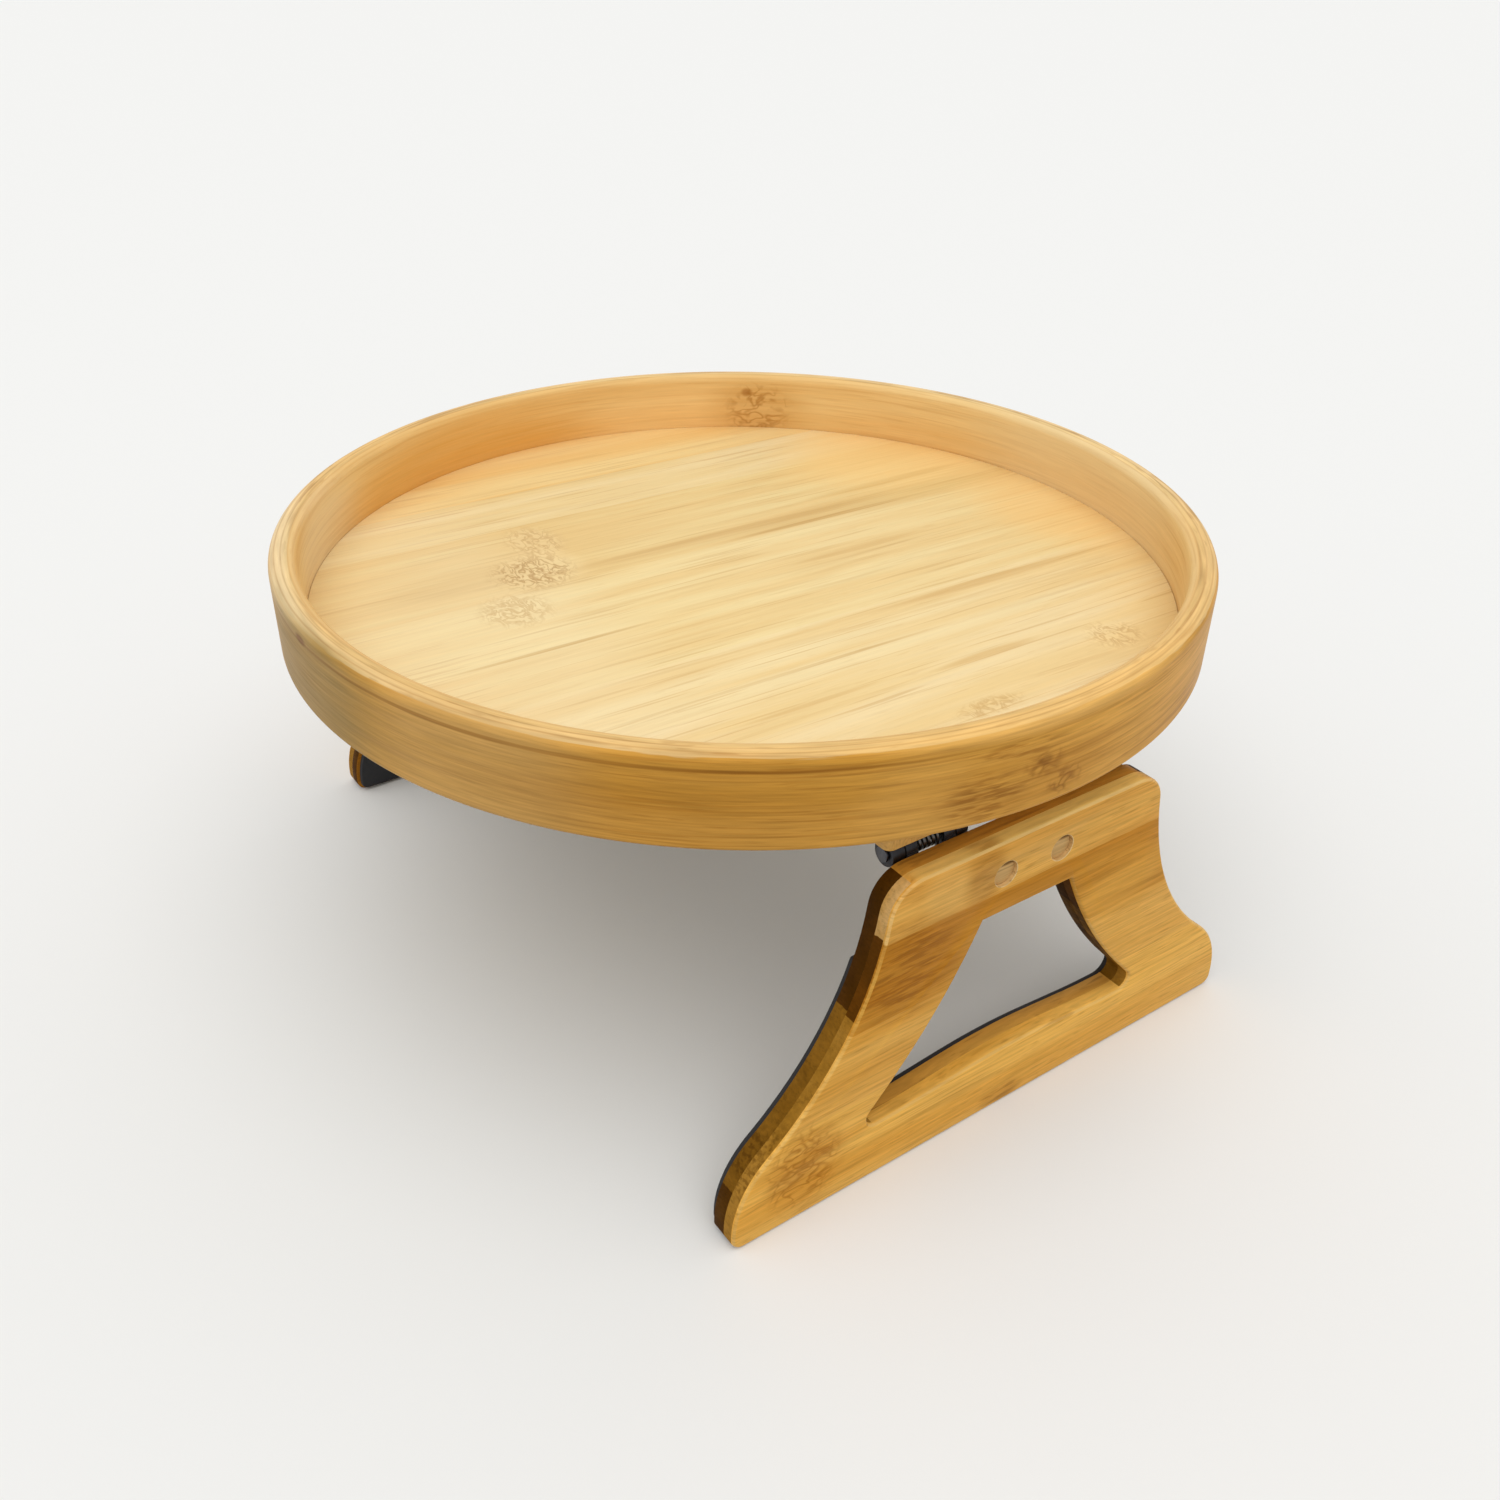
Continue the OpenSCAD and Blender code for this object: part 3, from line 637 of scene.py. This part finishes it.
# The innermost ply of the hoop, sanded smooth: even amber with broad soft bands.
INNER_RIM_BAMBOO = replace(
    RIM_BAMBOO, name="carbonised bamboo, sanded and lacquered inner ply",
    pale="#EFCC8C", warm="#E8BD78", streak="#C08434", gloss=0.12, strips=(), glue_lines=(119.9,),
    streak_share=0.3, line_share=0.2, fleck_share=0.1, fibre_contrast=0.06,
    marks=(
        Mark(PATCH, -612, 112, 60, 40, "#EDD5A4", 0.55), Mark(PATCH, -278, 110, 34, 16, "#EAD6B4", 0.4),
        Mark(PATCH, -352, 108, 72, 15, "#E0A042", 0.75), Mark(PATCH, -445, 108, 40, 15, "#F8CC88", 0.5),
        Mark(STREAK, -473, 112, 22, 12, "#D09A4C", 0.5), Mark(CURL, -473, 111.5, 13, 10, "#A86E24", 0.65),
        Mark(PATCH, -468.8, 117.8, 2.4, 1.7, "#A0641E", 0.65)))
# Carbonised bamboo board, milled, routed round its edges and lacquered: gold strips that meet at
# sharp level lines, with fine dark fibres and dark knots.
LEG_BAMBOO = Wood(
    "carbonised bamboo, milled and lacquered leg", Grain.LEG,
    pale="#F1BC60", warm="#E5A84C", streak="#9C5E08", seed=9.0, gloss=0.07,
    fibre_contrast=0.17, line_share=0.25, streak_share=0.22,
    strips=(Strip(73.7, "#DC9E3C", "#CD8A2A"), Strip(51, "#F0B759", "#E3A544"),
            Strip(29, "#F9C05C", "#EEAE48")),
    marks=(
        # The first patch is painted light: it lightens the top edge and the top faces, which the tray
        # above shades.
        Mark(PATCH, 0, 88.7, 60, 1.3, "#F8DC84", 0.7), Mark(PATCH, -27, 81, 8, 9, "#F6CA78", 0.25),
        Mark(PATCH, 32, 56, 18, 8, "#E8AC4C", 0.7), Mark(STREAK, -37, 63, 24, 15, "#AE6800", 0.6),
        Mark(DASH, -37, 63, 19, 15, "#8C5000", 0.55), Mark(STREAK, 0, 71, 26, 4, "#AE6E14", 0.4),
        Mark(STREAK, -15.5, 81, 7, 13, "#B27418", 0.4), Mark(DASH, -15.5, 81, 6, 12, "#9A5E08", 0.35),
        Mark(STREAK, -64, 16, 13, 15, "#C88010", 0.3), Mark(CURL, -64, 16, 12, 15, "#A25E00", 0.65),
        Mark(DASH, -62, 14, 12, 13, "#B06A00", 0.4), Mark(DASH, 0, 3.2, 9, 3.2, "#9A5E10", 0.6),
        Mark(STREAK, 0, 3, 8, 2.4, "#AA6E14", 0.25), Mark(STREAK, 45, 54, 20, 0.9, "#A86C14", 0.5),
        Mark(STREAK, -20, 12, 30, 1.0, "#A86C14", 0.4), Mark(STREAK, 25, 63, 26, 1.2, "#A86C14", 0.4)))
# The same board with other knots, for the leg that the photograph doesn't show.
LEFT_LEG_BAMBOO = replace(
    LEG_BAMBOO, name="carbonised bamboo, milled and lacquered left leg", seed=43.0,
    marks=(
        Mark(STREAK, 42, 40, 20, 12, "#A4660C", 0.6), Mark(DASH, 42, 40, 15, 13, "#7E4800", 0.85),
        Mark(CURL, -22, 8, 10, 9, "#94580A", 0.8), Mark(DASH, 26, 82, 7, 8, "#94580A", 0.5)))
# The same board where its routed edge is sanded through the lacquer, with a painted highlight: a paler
# line round the face, and painted light on the top edge, which the tray shades.
WORN_AND_HIGHLIGHT_LEG_BAMBOO = Wood(
    "carbonised bamboo, sanded through along a rounded edge", Grain.LEG,
    pale="#F6CC80", warm="#EBB766", streak="#B07628", seed=9.0, gloss=0.1,
    strips=(Strip(73.7, "#DBA448", "#CA8C36"), Strip(51, "#EFBE68", "#E3AD54")),
    # Its patch is painted light on the top edge, which the tray above shades.
    marks=(Mark(PATCH, 0, 88.7, 60, 1.6, "#F8DC90", 0.7),))
# Sawn ends of the same strips: the cut fibres drink the lacquer, so they are browner and duller, and they
# are darker still with painted shade, as under the tray.
LEG_END_GRAIN_AND_SHADE = Wood(
    "carbonised bamboo, sawn and lacquered end grain", Grain.LEG,
    pale="#DDB272", warm="#C8984F", streak="#3E2400", seed=31.0,
    streak_share=0.2, line_share=0.2, fleck_share=0.15, roughness=0.55, gloss=0.03,
    strips=(Strip(74.4, "#683C04", "#5A3402"), Strip(54, "#AE7E30", "#9C6E22")),
    marks=(
        Mark(DASH, -75, 22, 12, 12, "#5A3600", 0.55), Mark(STREAK, 30, 48, 18, 40, "#3E2400", 0.9)))
# Carbonised bamboo board from a darker cane, milled and lacquered: brown strips for the back.
INNER_LEG_BAMBOO = Wood(
    "carbonised bamboo, milled and lacquered leg back", Grain.LEG,
    pale="#CA8E36", warm="#B57828", streak="#7C4D1B", seed=14.0, gloss=0.07,
    strips=(Strip(54, "#D8A048", "#C68B38"), Strip(15, "#B47824", "#A46818")))
# Sawn ends of the back's strips: the darkest and dullest wood of the leg, with painted shade in their
# dark colours.
INNER_LEG_END_GRAIN_AND_SHADE = replace(
    LEG_END_GRAIN_AND_SHADE, name="carbonised bamboo, sawn and lacquered end grain of the back",
    pale="#523006", warm="#462800", streak="#2A1600", seed=37.0,
    strips=(Strip(55, "#8E621C", "#7A5212"), Strip(15, "#583606", "#4C2C02")),
    marks=(
        Mark(DASH, -75, 23, 12, 6, "#442600", 0.55), Mark(STREAK, 30, 48, 18, 40, "#2A1600", 0.9)))
# Carbonised bamboo board, planed and lacquered: straw brown with straight lines.
BOARD_BAMBOO = Wood(
    "carbonised bamboo, planed and lacquered board", Grain.BOARD,
    pale="#EEC47C", warm="#E2B062", streak="#B07C3A", seed=21.0)
# Bamboo cut through by the drill and left bare: pale, dull and a little torn.
RAW_CUT = Wood(
    "raw bamboo round a drilled hole", Grain.LEG,
    pale="#F6DCA6", warm="#EAC88A", streak="#A98248", seed=2.0, roughness=0.6, gloss=0.05)
# The same bamboo down the hole's wall, scraped by the drill: browner, with dark fibre ends.
HOLE_WALL = Wood(
    "raw bamboo wall of a drilled hole", Grain.LEG,
    pale="#EECB8E", warm="#DDB272", streak="#8A5F28", seed=4.0, roughness=0.6, gloss=0.05)
# Beech rod, cut across and driven in: greyer than the bamboo, with fine pores, and with a painted shadow
# on its upper part, under the hole's upper edge.
BEECH = Wood(
    "turned beech dowel, end grain lacquered", Grain.LEG,
    pale="#DCB478", warm="#C69C5C", streak="#8E6A38", seed=2.0, roughness=0.55, gloss=0.05,
    marks=(
        # Painted shadow: these two dark patches lie on the dowels' upper parts, under the holes' upper
        # edges.
        Mark(PATCH, 10.2, 81.6, 3.6, 1.8, "#6E4A1C", 0.85),
        Mark(PATCH, -7.8, 81.6, 3.6, 1.8, "#6E4A1C", 0.85)))
# Moulded rubber plate, glued on: matt black with fine pebbles.
RUBBER = Rubber()
# Zinc plated steel, tumbled: pale grey with a soft sheen.
ZINC = Steel("zinc plated steel, tumbled", "#B9BABB", "#D2D2CF", 0.32)
# Steel strip, stamped, rolled and blackened: dark, with paler rubbed places.
DARK_STEEL = Steel("black oxide steel leaf, stamped", "#2E2E31", "#48484B", 0.42)
# Steel rod, blackened before its ends were riveted over: dark, with brighter rubbed places.
PIN_STEEL = Steel("black oxide steel pin, riveted", "#3A3A3C", "#66666A", 0.36)
# Drawn spring wire, tempered in oil: dark brown grey with lines along the wire.
SPRING_STEEL = Steel("oil tempered spring wire", "#4E4D4B", "#767471", 0.34, 0.4)


# Mesh helpers

# Roundings of the pieces that keep the shape of their CAD nodes
PANEL_ROUND, BOARD_ROUND, PAD_ROUND, DOWEL_ROUND = 0.15 * MM, 0.8 * MM, 0.4 * MM, 0.25 * MM
BOARD_SCREW_ROUND, LEAF_SCREW_ROUND, LEAF_ROUND, PIN_ROUND = (
    0.12 * MM, 0.08 * MM, 0.1 * MM, 0.12 * MM)


def arc(centre: tuple[float, float], radius: float, start: float, end: float,
        steps: int) -> list[tuple[float, float]]:
    """Work out the points of an arc.

    Args:
        centre: its centre.
        radius: its radius.
        start: the first point's angle in degrees.
        end: the last point's angle in degrees.
        steps: how many parts it has.

    Returns:
        Its points, one more than its parts.
    """
    angles = [radians(start + (end - start) * step / steps) for step in range(steps + 1)]
    return [(centre[0] + radius * cos(angle), centre[1] + radius * sin(angle)) for angle in angles]


def merged_copy(node: str) -> Mesh:
    """Copy a CAD node's loose triangles and join them into clean flat faces.

    Args:
        node: the node's name.

    Returns:
        The copy.
    """
    mesh = bmesh.new()
    mesh.from_mesh(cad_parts[node].data)
    bmesh.ops.remove_doubles(mesh, verts=mesh.verts, dist=MERGE)
    bmesh.ops.dissolve_limit(mesh, angle_limit=FLAT_ANGLE, verts=mesh.verts, edges=mesh.edges)
    return mesh


def round_edges(mesh: Mesh, width: float, segments: int,
                chosen: Callable[[Edge], bool] = lambda edge: True) -> None:
    """Round the sharp edges of a mesh.

    Args:
        mesh: the mesh.
        width: how far the rounding reaches in from the edge.
        segments: how many faces it has across.
        chosen: says which of the sharp edges are rounded.
    """
    edges = [edge for edge in mesh.edges
             if edge.is_manifold and edge.calc_face_angle(0.0) > SHARP_ANGLE and chosen(edge)]
    bmesh.ops.bevel(mesh, geom=edges, offset=width, offset_type="OFFSET", affect="EDGES",
                    segments=segments, profile=0.5, material=-1, clamp_overlap=True)


def finished(name: str, mesh: Mesh, *materials: Material) -> bpy.types.Object:
    """Make an object of a finished mesh.

    Args:
        name: the piece's name.
        mesh: its mesh, which is freed.
        materials: its materials, in the order of its faces' numbers.

    Returns:
        The object, with smooth faces and sharp corners.
    """
    data = bpy.data.meshes.new(name)
    mesh.to_mesh(data)
    mesh.free()
    data.shade_smooth()
    data.set_sharp_from_angle(angle=SHARP_ANGLE)
    for material in materials:
        data.materials.append(material)
    piece = bpy.data.objects.new(name, data)
    bpy.context.scene.collection.objects.link(piece)
    LOG.info("piece %s: %d faces", name, len(data.polygons))
    return piece


@dataclass
class Assembly:
    """A group of pieces on one body."""

    body: str

    def place(self, piece: bpy.types.Object, slot: str, *nodes: str) -> None:
        """Let a piece ride on the body and stand for its CAD nodes.

        Args:
            piece: the piece.
            slot: not used.
            nodes: the CAD nodes that it replaces.
        """
        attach(piece, self.body)
        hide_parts(*nodes)

    def carry_over(self, node: str, slot: str, material: Material, rounding: float,
                   segments: int = 2) -> None:
        """Replace a CAD node with a copy of it that has rounded edges.

        Args:
            node: the node's name.
            slot: not used.
            material: the copy's material.
            rounding: how far its roundings reach in from the edges.
            segments: how many faces each rounding has across.
        """
        mesh = merged_copy(node)
        round_edges(mesh, rounding, segments)
        self.place(finished(node + "_dressed", mesh, material), slot, node)


# The tray

@dataclass
class TrayTop(Assembly):
    """Round floor panel in a steam bent rim.

    Attributes:
        outer_r: radius of the rim.
        inner_r: radius inside the rim.
        rebate_r: radius of the groove that the floor panel sits in.
        foot_z: height of the rim's lower edge.
        top_z: height of its top.
        shoulder_z: top of the groove.
        top_round: rounding of its two upper edges.
        foot_round: rounding of its lower outer edge.
        inner_ply_r: outer radius of its innermost ply.
        corner_steps: faces across each rounding of the rim.
        turn_steps: faces round the rim.
    """

    outer_r: float = 125 * MM
    inner_r: float = 118 * MM
    rebate_r: float = 121 * MM
    foot_z: float = 100 * MM
    top_z: float = 123.5 * MM
    shoulder_z: float = 104 * MM
    top_round: float = 2.4 * MM
    foot_round: float = 1.6 * MM
    inner_ply_r: float = 119.9 * MM
    corner_steps: int = 10
    turn_steps: int = 300

    def rim(self) -> Mesh:
        """Spin the rim's section round the tray.

        Returns:
            The rim's mesh.
        """
        steps, low, high = self.corner_steps, self.foot_round, self.top_round
        section = arc((self.outer_r - low, self.foot_z + low), low, -90, 0, steps)
        section += arc((self.outer_r - high, self.top_z - high), high, 0, 90, steps)
        section += arc((self.inner_r + high, self.top_z - high), high, 90, 180, steps)
        section += [(self.inner_r, self.shoulder_z), (self.rebate_r, self.shoulder_z),
                    (self.rebate_r, self.foot_z)]
        mesh = bmesh.new()
        verts = [mesh.verts.new((x, 0, z)) for x, z in section]
        edges = [mesh.edges.new(pair) for pair in zip(verts, verts[1:] + verts[:1])]
        bmesh.ops.spin(mesh, geom=verts + edges, axis=(0, 0, 1), cent=(0, 0, 0), angle=2 * pi,
                       steps=self.turn_steps, use_merge=True)
        bmesh.ops.remove_doubles(mesh, verts=mesh.verts, dist=MERGE)
        bmesh.ops.recalc_face_normals(mesh, faces=mesh.faces)
        return mesh

    def build(self) -> None:
        """Make the rim and the floor panel."""
        hoop = self.rim()
        for face in hoop.faces:
            if face.calc_center_median().xy.length < self.inner_ply_r:
                face.material_index = 1
        self.place(finished("rim_hoop", hoop, RIM_BAMBOO.build(), INNER_RIM_BAMBOO.build()),
                   "bamboo_rim", "tray_rim")
        self.carry_over("floor_panel", "bamboo_floor", FLOOR_BAMBOO.build(), PANEL_ROUND)


@dataclass
class CrossBoard(Assembly):
    """Board under the tray that joins it to the hinges, with its rubber pad and its screws."""

    def build(self) -> None:
        """Make the board, its pad and its screws."""
        zinc = ZINC.build()
        self.carry_over("cross_board", "bamboo_board", BOARD_BAMBOO.build(), BOARD_ROUND, 3)
        self.carry_over("cross_board_pad", "black_rubber", RUBBER.build(), PAD_ROUND)
        self.carry_over("cross_board_screws", "zinc_screw", zinc, BOARD_SCREW_ROUND)
        self.carry_over("hinge_board_screws", "zinc_screw", zinc, LEAF_SCREW_ROUND)


# The legs and hinges

class LegFinish(IntEnum):
    """Numbers of a ply's materials."""

    FACE = 0
    END_GRAIN_AND_SHADE = 1
    WORN_AND_HIGHLIGHT = 2
    RAW_CUT = 3
    HOLE_WALL = 4


# How far outward a face of the outer ply looks: the flat face, a worn edge with a painted highlight, a
# hole's worn rim
FLAT_LEAN, WORN_AND_HIGHLIGHT_LEAN, CUT_LEAN = 0.98, 0.3, 0.1
# End grain looks at least this far along the fibres and at most this far outward
END_ALONG, END_OUTWARD = 0.4, 0.15


@dataclass
class Leg(Assembly):
    """One leg: two bamboo plies, two beech dowels in blind holes and a rubber pad.

    Attributes:
        side: right or left.
        sign: +1 where the leg faces +X and -1 where it faces -X.
        out_x: how far its outer face is from the tray's middle.
        face_round: rounding round its outer face.
        seam_round: rounding along the glue line and at the back.
        hole_round: rounding round the dowel holes.
        dowel_y: how far the dowels are from the leg's middle.
        dowel_z: height of the dowels.
        hole_r: how far from a dowel's middle its hole and the rounding reach.
        near: how near to the outer face a corner counts as on it.
    """

    side: str = "right"
    sign: int = 1
    out_x: float = 118.757 * MM
    face_round: float = 1.0 * MM
    seam_round: float = 0.35 * MM
    hole_round: float = 0.5 * MM
    dowel_y: float = 9 * MM
    dowel_z: float = 78.5 * MM
    hole_r: float = 4.4 * MM
    near: float = 0.05 * MM

    def on_hole(self, place: Vector) -> bool:
        """Say whether a place is at the rim or the wall of a dowel hole."""
        return (abs(place.z - self.dowel_z) < self.hole_r
                and abs(abs(place.y) - self.dowel_y) < self.hole_r)

    def outer_ply(self) -> Mesh:
        """Round the outer ply's edges, wider on its outer face.

        Returns:
            The ply's mesh.
        """
        mesh = merged_copy(f"{self.side}_leg_outer_ply")
        outer = self.sign * self.out_x

        def on_face(edge: Edge) -> bool:
            """Say whether an edge lies on the outer face."""
            return all(abs(vert.co.x - outer) < self.near for vert in edge.verts)

        def round_hole(edge: Edge) -> bool:
            """Say whether an edge runs round a dowel hole."""
            return all(self.on_hole(vert.co) for vert in edge.verts)

        round_edges(mesh, self.face_round, 4, lambda edge: on_face(edge) and not round_hole(edge))
        round_edges(mesh, self.hole_round, 2, lambda edge: on_face(edge) and round_hole(edge))
        self.mark_ends(mesh)
        for face in mesh.faces:
            lean = face.normal.x * self.sign
            if abs(lean) > FLAT_LEAN:
                continue
            if self.on_hole(face.calc_center_median()):
                cut = lean > CUT_LEAN
                face.material_index = LegFinish.RAW_CUT if cut else LegFinish.HOLE_WALL
            # A rounded edge of the outer face gets the paler finish: sanded-through wear with a painted
            # highlight.
            elif lean > WORN_AND_HIGHLIGHT_LEAN:
                face.material_index = LegFinish.WORN_AND_HIGHLIGHT
        return mesh

    @staticmethod
    def mark_ends(mesh: Mesh) -> None:
        """Give the end grain its own material, which is darker and holds painted shade: the faces that
        look along the fibres.

        Args:
            mesh: a ply's mesh.
        """
        for face in mesh.faces:
            if abs(face.normal.y) > END_ALONG and abs(face.normal.x) < END_OUTWARD:
                face.material_index = LegFinish.END_GRAIN_AND_SHADE

    def build(self) -> None:
        """Make the leg's pieces."""
        outer, inner = f"{self.side}_leg_outer_ply", f"{self.side}_leg_inner_ply"
        face = LEG_BAMBOO if self.side == "right" else LEFT_LEG_BAMBOO
        self.place(finished(outer + "_dressed", self.outer_ply(), face.build(), LEG_END_GRAIN_AND_SHADE.build(),
                            WORN_AND_HIGHLIGHT_LEG_BAMBOO.build(), RAW_CUT.build(), HOLE_WALL.build()),
                   "bamboo_leg_outer", outer)
        mesh = merged_copy(inner)
        round_edges(mesh, self.seam_round, 2)
        self.mark_ends(mesh)
        self.place(finished(inner + "_dressed", mesh, INNER_LEG_BAMBOO.build(),
                            INNER_LEG_END_GRAIN_AND_SHADE.build()), "bamboo_leg_inner", inner)
        start = f"{self.side}_leg_"
        self.carry_over(start + "dowels", "beech_dowel", BEECH.build(), DOWEL_ROUND)
        self.carry_over(start + "pad", "black_rubber", RUBBER.build(), PAD_ROUND)
        self.carry_over(start + "hinge_screws", "zinc_screw", ZINC.build(), LEAF_SCREW_ROUND)


@dataclass
class Hinge(Assembly):
    """A sprung butt hinge: two stamped leaves, a riveted pin and a torsion spring.

    Attributes:
        side: right or left.
        row: front or back.
        sign: +1 where the leg faces +X and -1 where it faces -X.
        axis_x: how far the pin is from the tray's middle.
        axis_z: height of the pin.
        middle_y: how far the hinge's middle is from the tray's.
        coil_half: half the length of the spring's coil.
    """

    side: str = "right"
    row: str = "front"
    sign: int = 1
    axis_x: float = 107.257 * MM
    axis_z: float = 88.5 * MM
    middle_y: float = 25.5 * MM
    coil_half: float = 2.76 * MM

    def spring(self, material: Material) -> None:
        """Make the spring as round wire between tray and leg.

        Args:
            material: the spring's material.
        """
        node = f"{self.side}_{self.row}_hinge_spring"
        mesh = bmesh.new()
        mesh.from_mesh(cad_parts[node].data)
        bmesh.ops.remove_doubles(mesh, verts=mesh.verts, dist=MERGE)
        bmesh.ops.subdivide_edges(mesh, edges=mesh.edges, cuts=1, use_grid_fill=True, smooth=1.0)
        piece = finished(node + "_dressed", mesh, material)
        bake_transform(piece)
        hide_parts(node)

    def build(self) -> None:
        """Make the hinge's pieces."""
        start = f"{self.side}_{self.row}_hinge_"
        dark = DARK_STEEL.build()
        self.carry_over(start + "board_leaf", "dark_hinge_leaf", dark, LEAF_ROUND)
        self.carry_over(start + "pin", "steel_pin", PIN_STEEL.build(), PIN_ROUND)
        Assembly(f"{self.side}_leg").carry_over(start + "leg_leaf", "dark_hinge_leaf", dark,
                                                LEAF_ROUND)
        self.spring(SPRING_STEEL.build())


# The studio

@dataclass
class Studio:
    """Pale floor, soft light and the camera.

    Attributes:
        eye: the camera's place.
        right, up, forward: its axes.
        focal_px: its focal length in pixels of the photograph.
        middle_px: the pixel that it points at.
        image_px: how many pixels wide and high the photograph is.
        floor_r, floor_colour: the floor's radius and its colour as the camera sees it.
        bounce: its colour in the light that it throws back.
        sky, sky_strength: the sky's colour and brightness.
        key_strength, key_from: the key lamp's brightness and where its light comes from.
        key_size: how wide the key lamp looks, in degrees.
    """

    eye: tuple[float, float, float] = (0.29160, -0.20409, 0.27198)
    right: tuple[float, float, float] = (0.57305086, 0.81933837, 0.01724379)
    up: tuple[float, float, float] = (-0.44306861, 0.29204697, 0.84758408)
    forward: tuple[float, float, float] = (-0.68942216, 0.49334897, -0.53038088)
    focal_px: float = 1394.6608
    middle_px: tuple[float, float] = (754.5, 740.5)
    image_px: float = 1500.0
    floor_r: float = 14.0
    floor_colour: str = "#EDEDEB"
    bounce: str = "#B9B9B7"
    sky: str = "#FFFFFF"
    sky_strength: float = 0.72
    key_strength: float = 1.2
    key_from: tuple[float, float, float] = (0.3, -0.2, 1.0)
    key_size: float = 70.0

    def camera(self) -> None:
        """Place the camera at the photograph's viewing angle."""
        data = bpy.data.cameras.new("camera")
        data.sensor_width = 36.0
        data.lens = self.focal_px / self.image_px * data.sensor_width
        half = self.image_px / 2
        data.shift_x = (half - self.middle_px[0]) / self.image_px
        data.shift_y = (self.middle_px[1] - half) / self.image_px
        data.clip_start = 0.01
        data.clip_end = 60.0
        camera = bpy.data.objects.new("camera", data)
        axes = Matrix((self.right, self.up, -Vector(self.forward))).transposed()
        camera.matrix_world = Matrix.Translation(self.eye) @ axes.to_4x4()
        bpy.context.scene.collection.objects.link(camera)
        bpy.context.scene.camera = camera

    def floor(self) -> None:
        """Lay the pale floor."""
        mesh = bmesh.new()
        bmesh.ops.create_circle(mesh, cap_ends=True, radius=self.floor_r, segments=96)
        # Studio paper, rolled and uncoated: matt and almost even.
        material, tree, shader = new_material("matt studio paper")
        grain = add_node(tree, "TexNoise", {"Vector": add_node(tree, "TexCoord", output="Object"),
                                            "Scale": 12.0})
        bump = add_node(tree, "Bump", {"Height": grain, "Strength": 0.02})
        tree.links.new(bump, shader.inputs["Normal"])
        # The floor throws back less light than it shows, so that the wood's lower sides stay dark.
        thrown_back = add_node(tree, "LightPath", output="Is Diffuse Ray")
        colour = add_node(tree, "Mix", {SHARE: thrown_back,
                                        UNDER: linear(self.floor_colour),
                                        OVER: linear(self.bounce)},
                          output=MIXED, data_type="RGBA")
        tree.links.new(colour, shader.inputs["Base Color"])
        shader.inputs["Roughness"].default_value = 0.9
        shader.inputs["Specular IOR Level"].default_value = 0.1
        finished("studio_floor", mesh, material)

    def light(self) -> None:
        """Light the tray with a pale sky and one soft key lamp."""
        world = bpy.data.worlds.new("pale sky")
        bpy.context.scene.world = world
        world.use_nodes = True
        background = world.node_tree.nodes["Background"]
        background.inputs["Color"].default_value = linear(self.sky)
        background.inputs["Strength"].default_value = self.sky_strength
        lamp = bpy.data.lights.new("key", "SUN")
        lamp.energy = self.key_strength
        lamp.angle = radians(self.key_size)
        key = bpy.data.objects.new("key", lamp)
        key.rotation_euler = Vector(self.key_from).to_track_quat("Z", "Y").to_euler()
        bpy.context.scene.collection.objects.link(key)

    def build(self) -> None:
        """Make the floor, the lights and the camera."""
        self.camera()
        self.floor()
        self.light()
        bpy.context.scene.view_settings.view_transform = "Standard"


def main() -> None:
    """Build the studio, then the tray, its board, its legs and their hinges."""
    logging.basicConfig(level=logging.INFO, format="%(name)s: %(message)s")
    Studio().build()
    TrayTop("tray").build()
    CrossBoard("tray").build()
    for side, sign in (("right", 1), ("left", -1)):
        Leg(f"{side}_leg", side=side, sign=sign).build()
        for row in ("front", "back"):
            Hinge("tray", side=side, row=row, sign=sign).build()


if __name__ == "__main__":
    main()
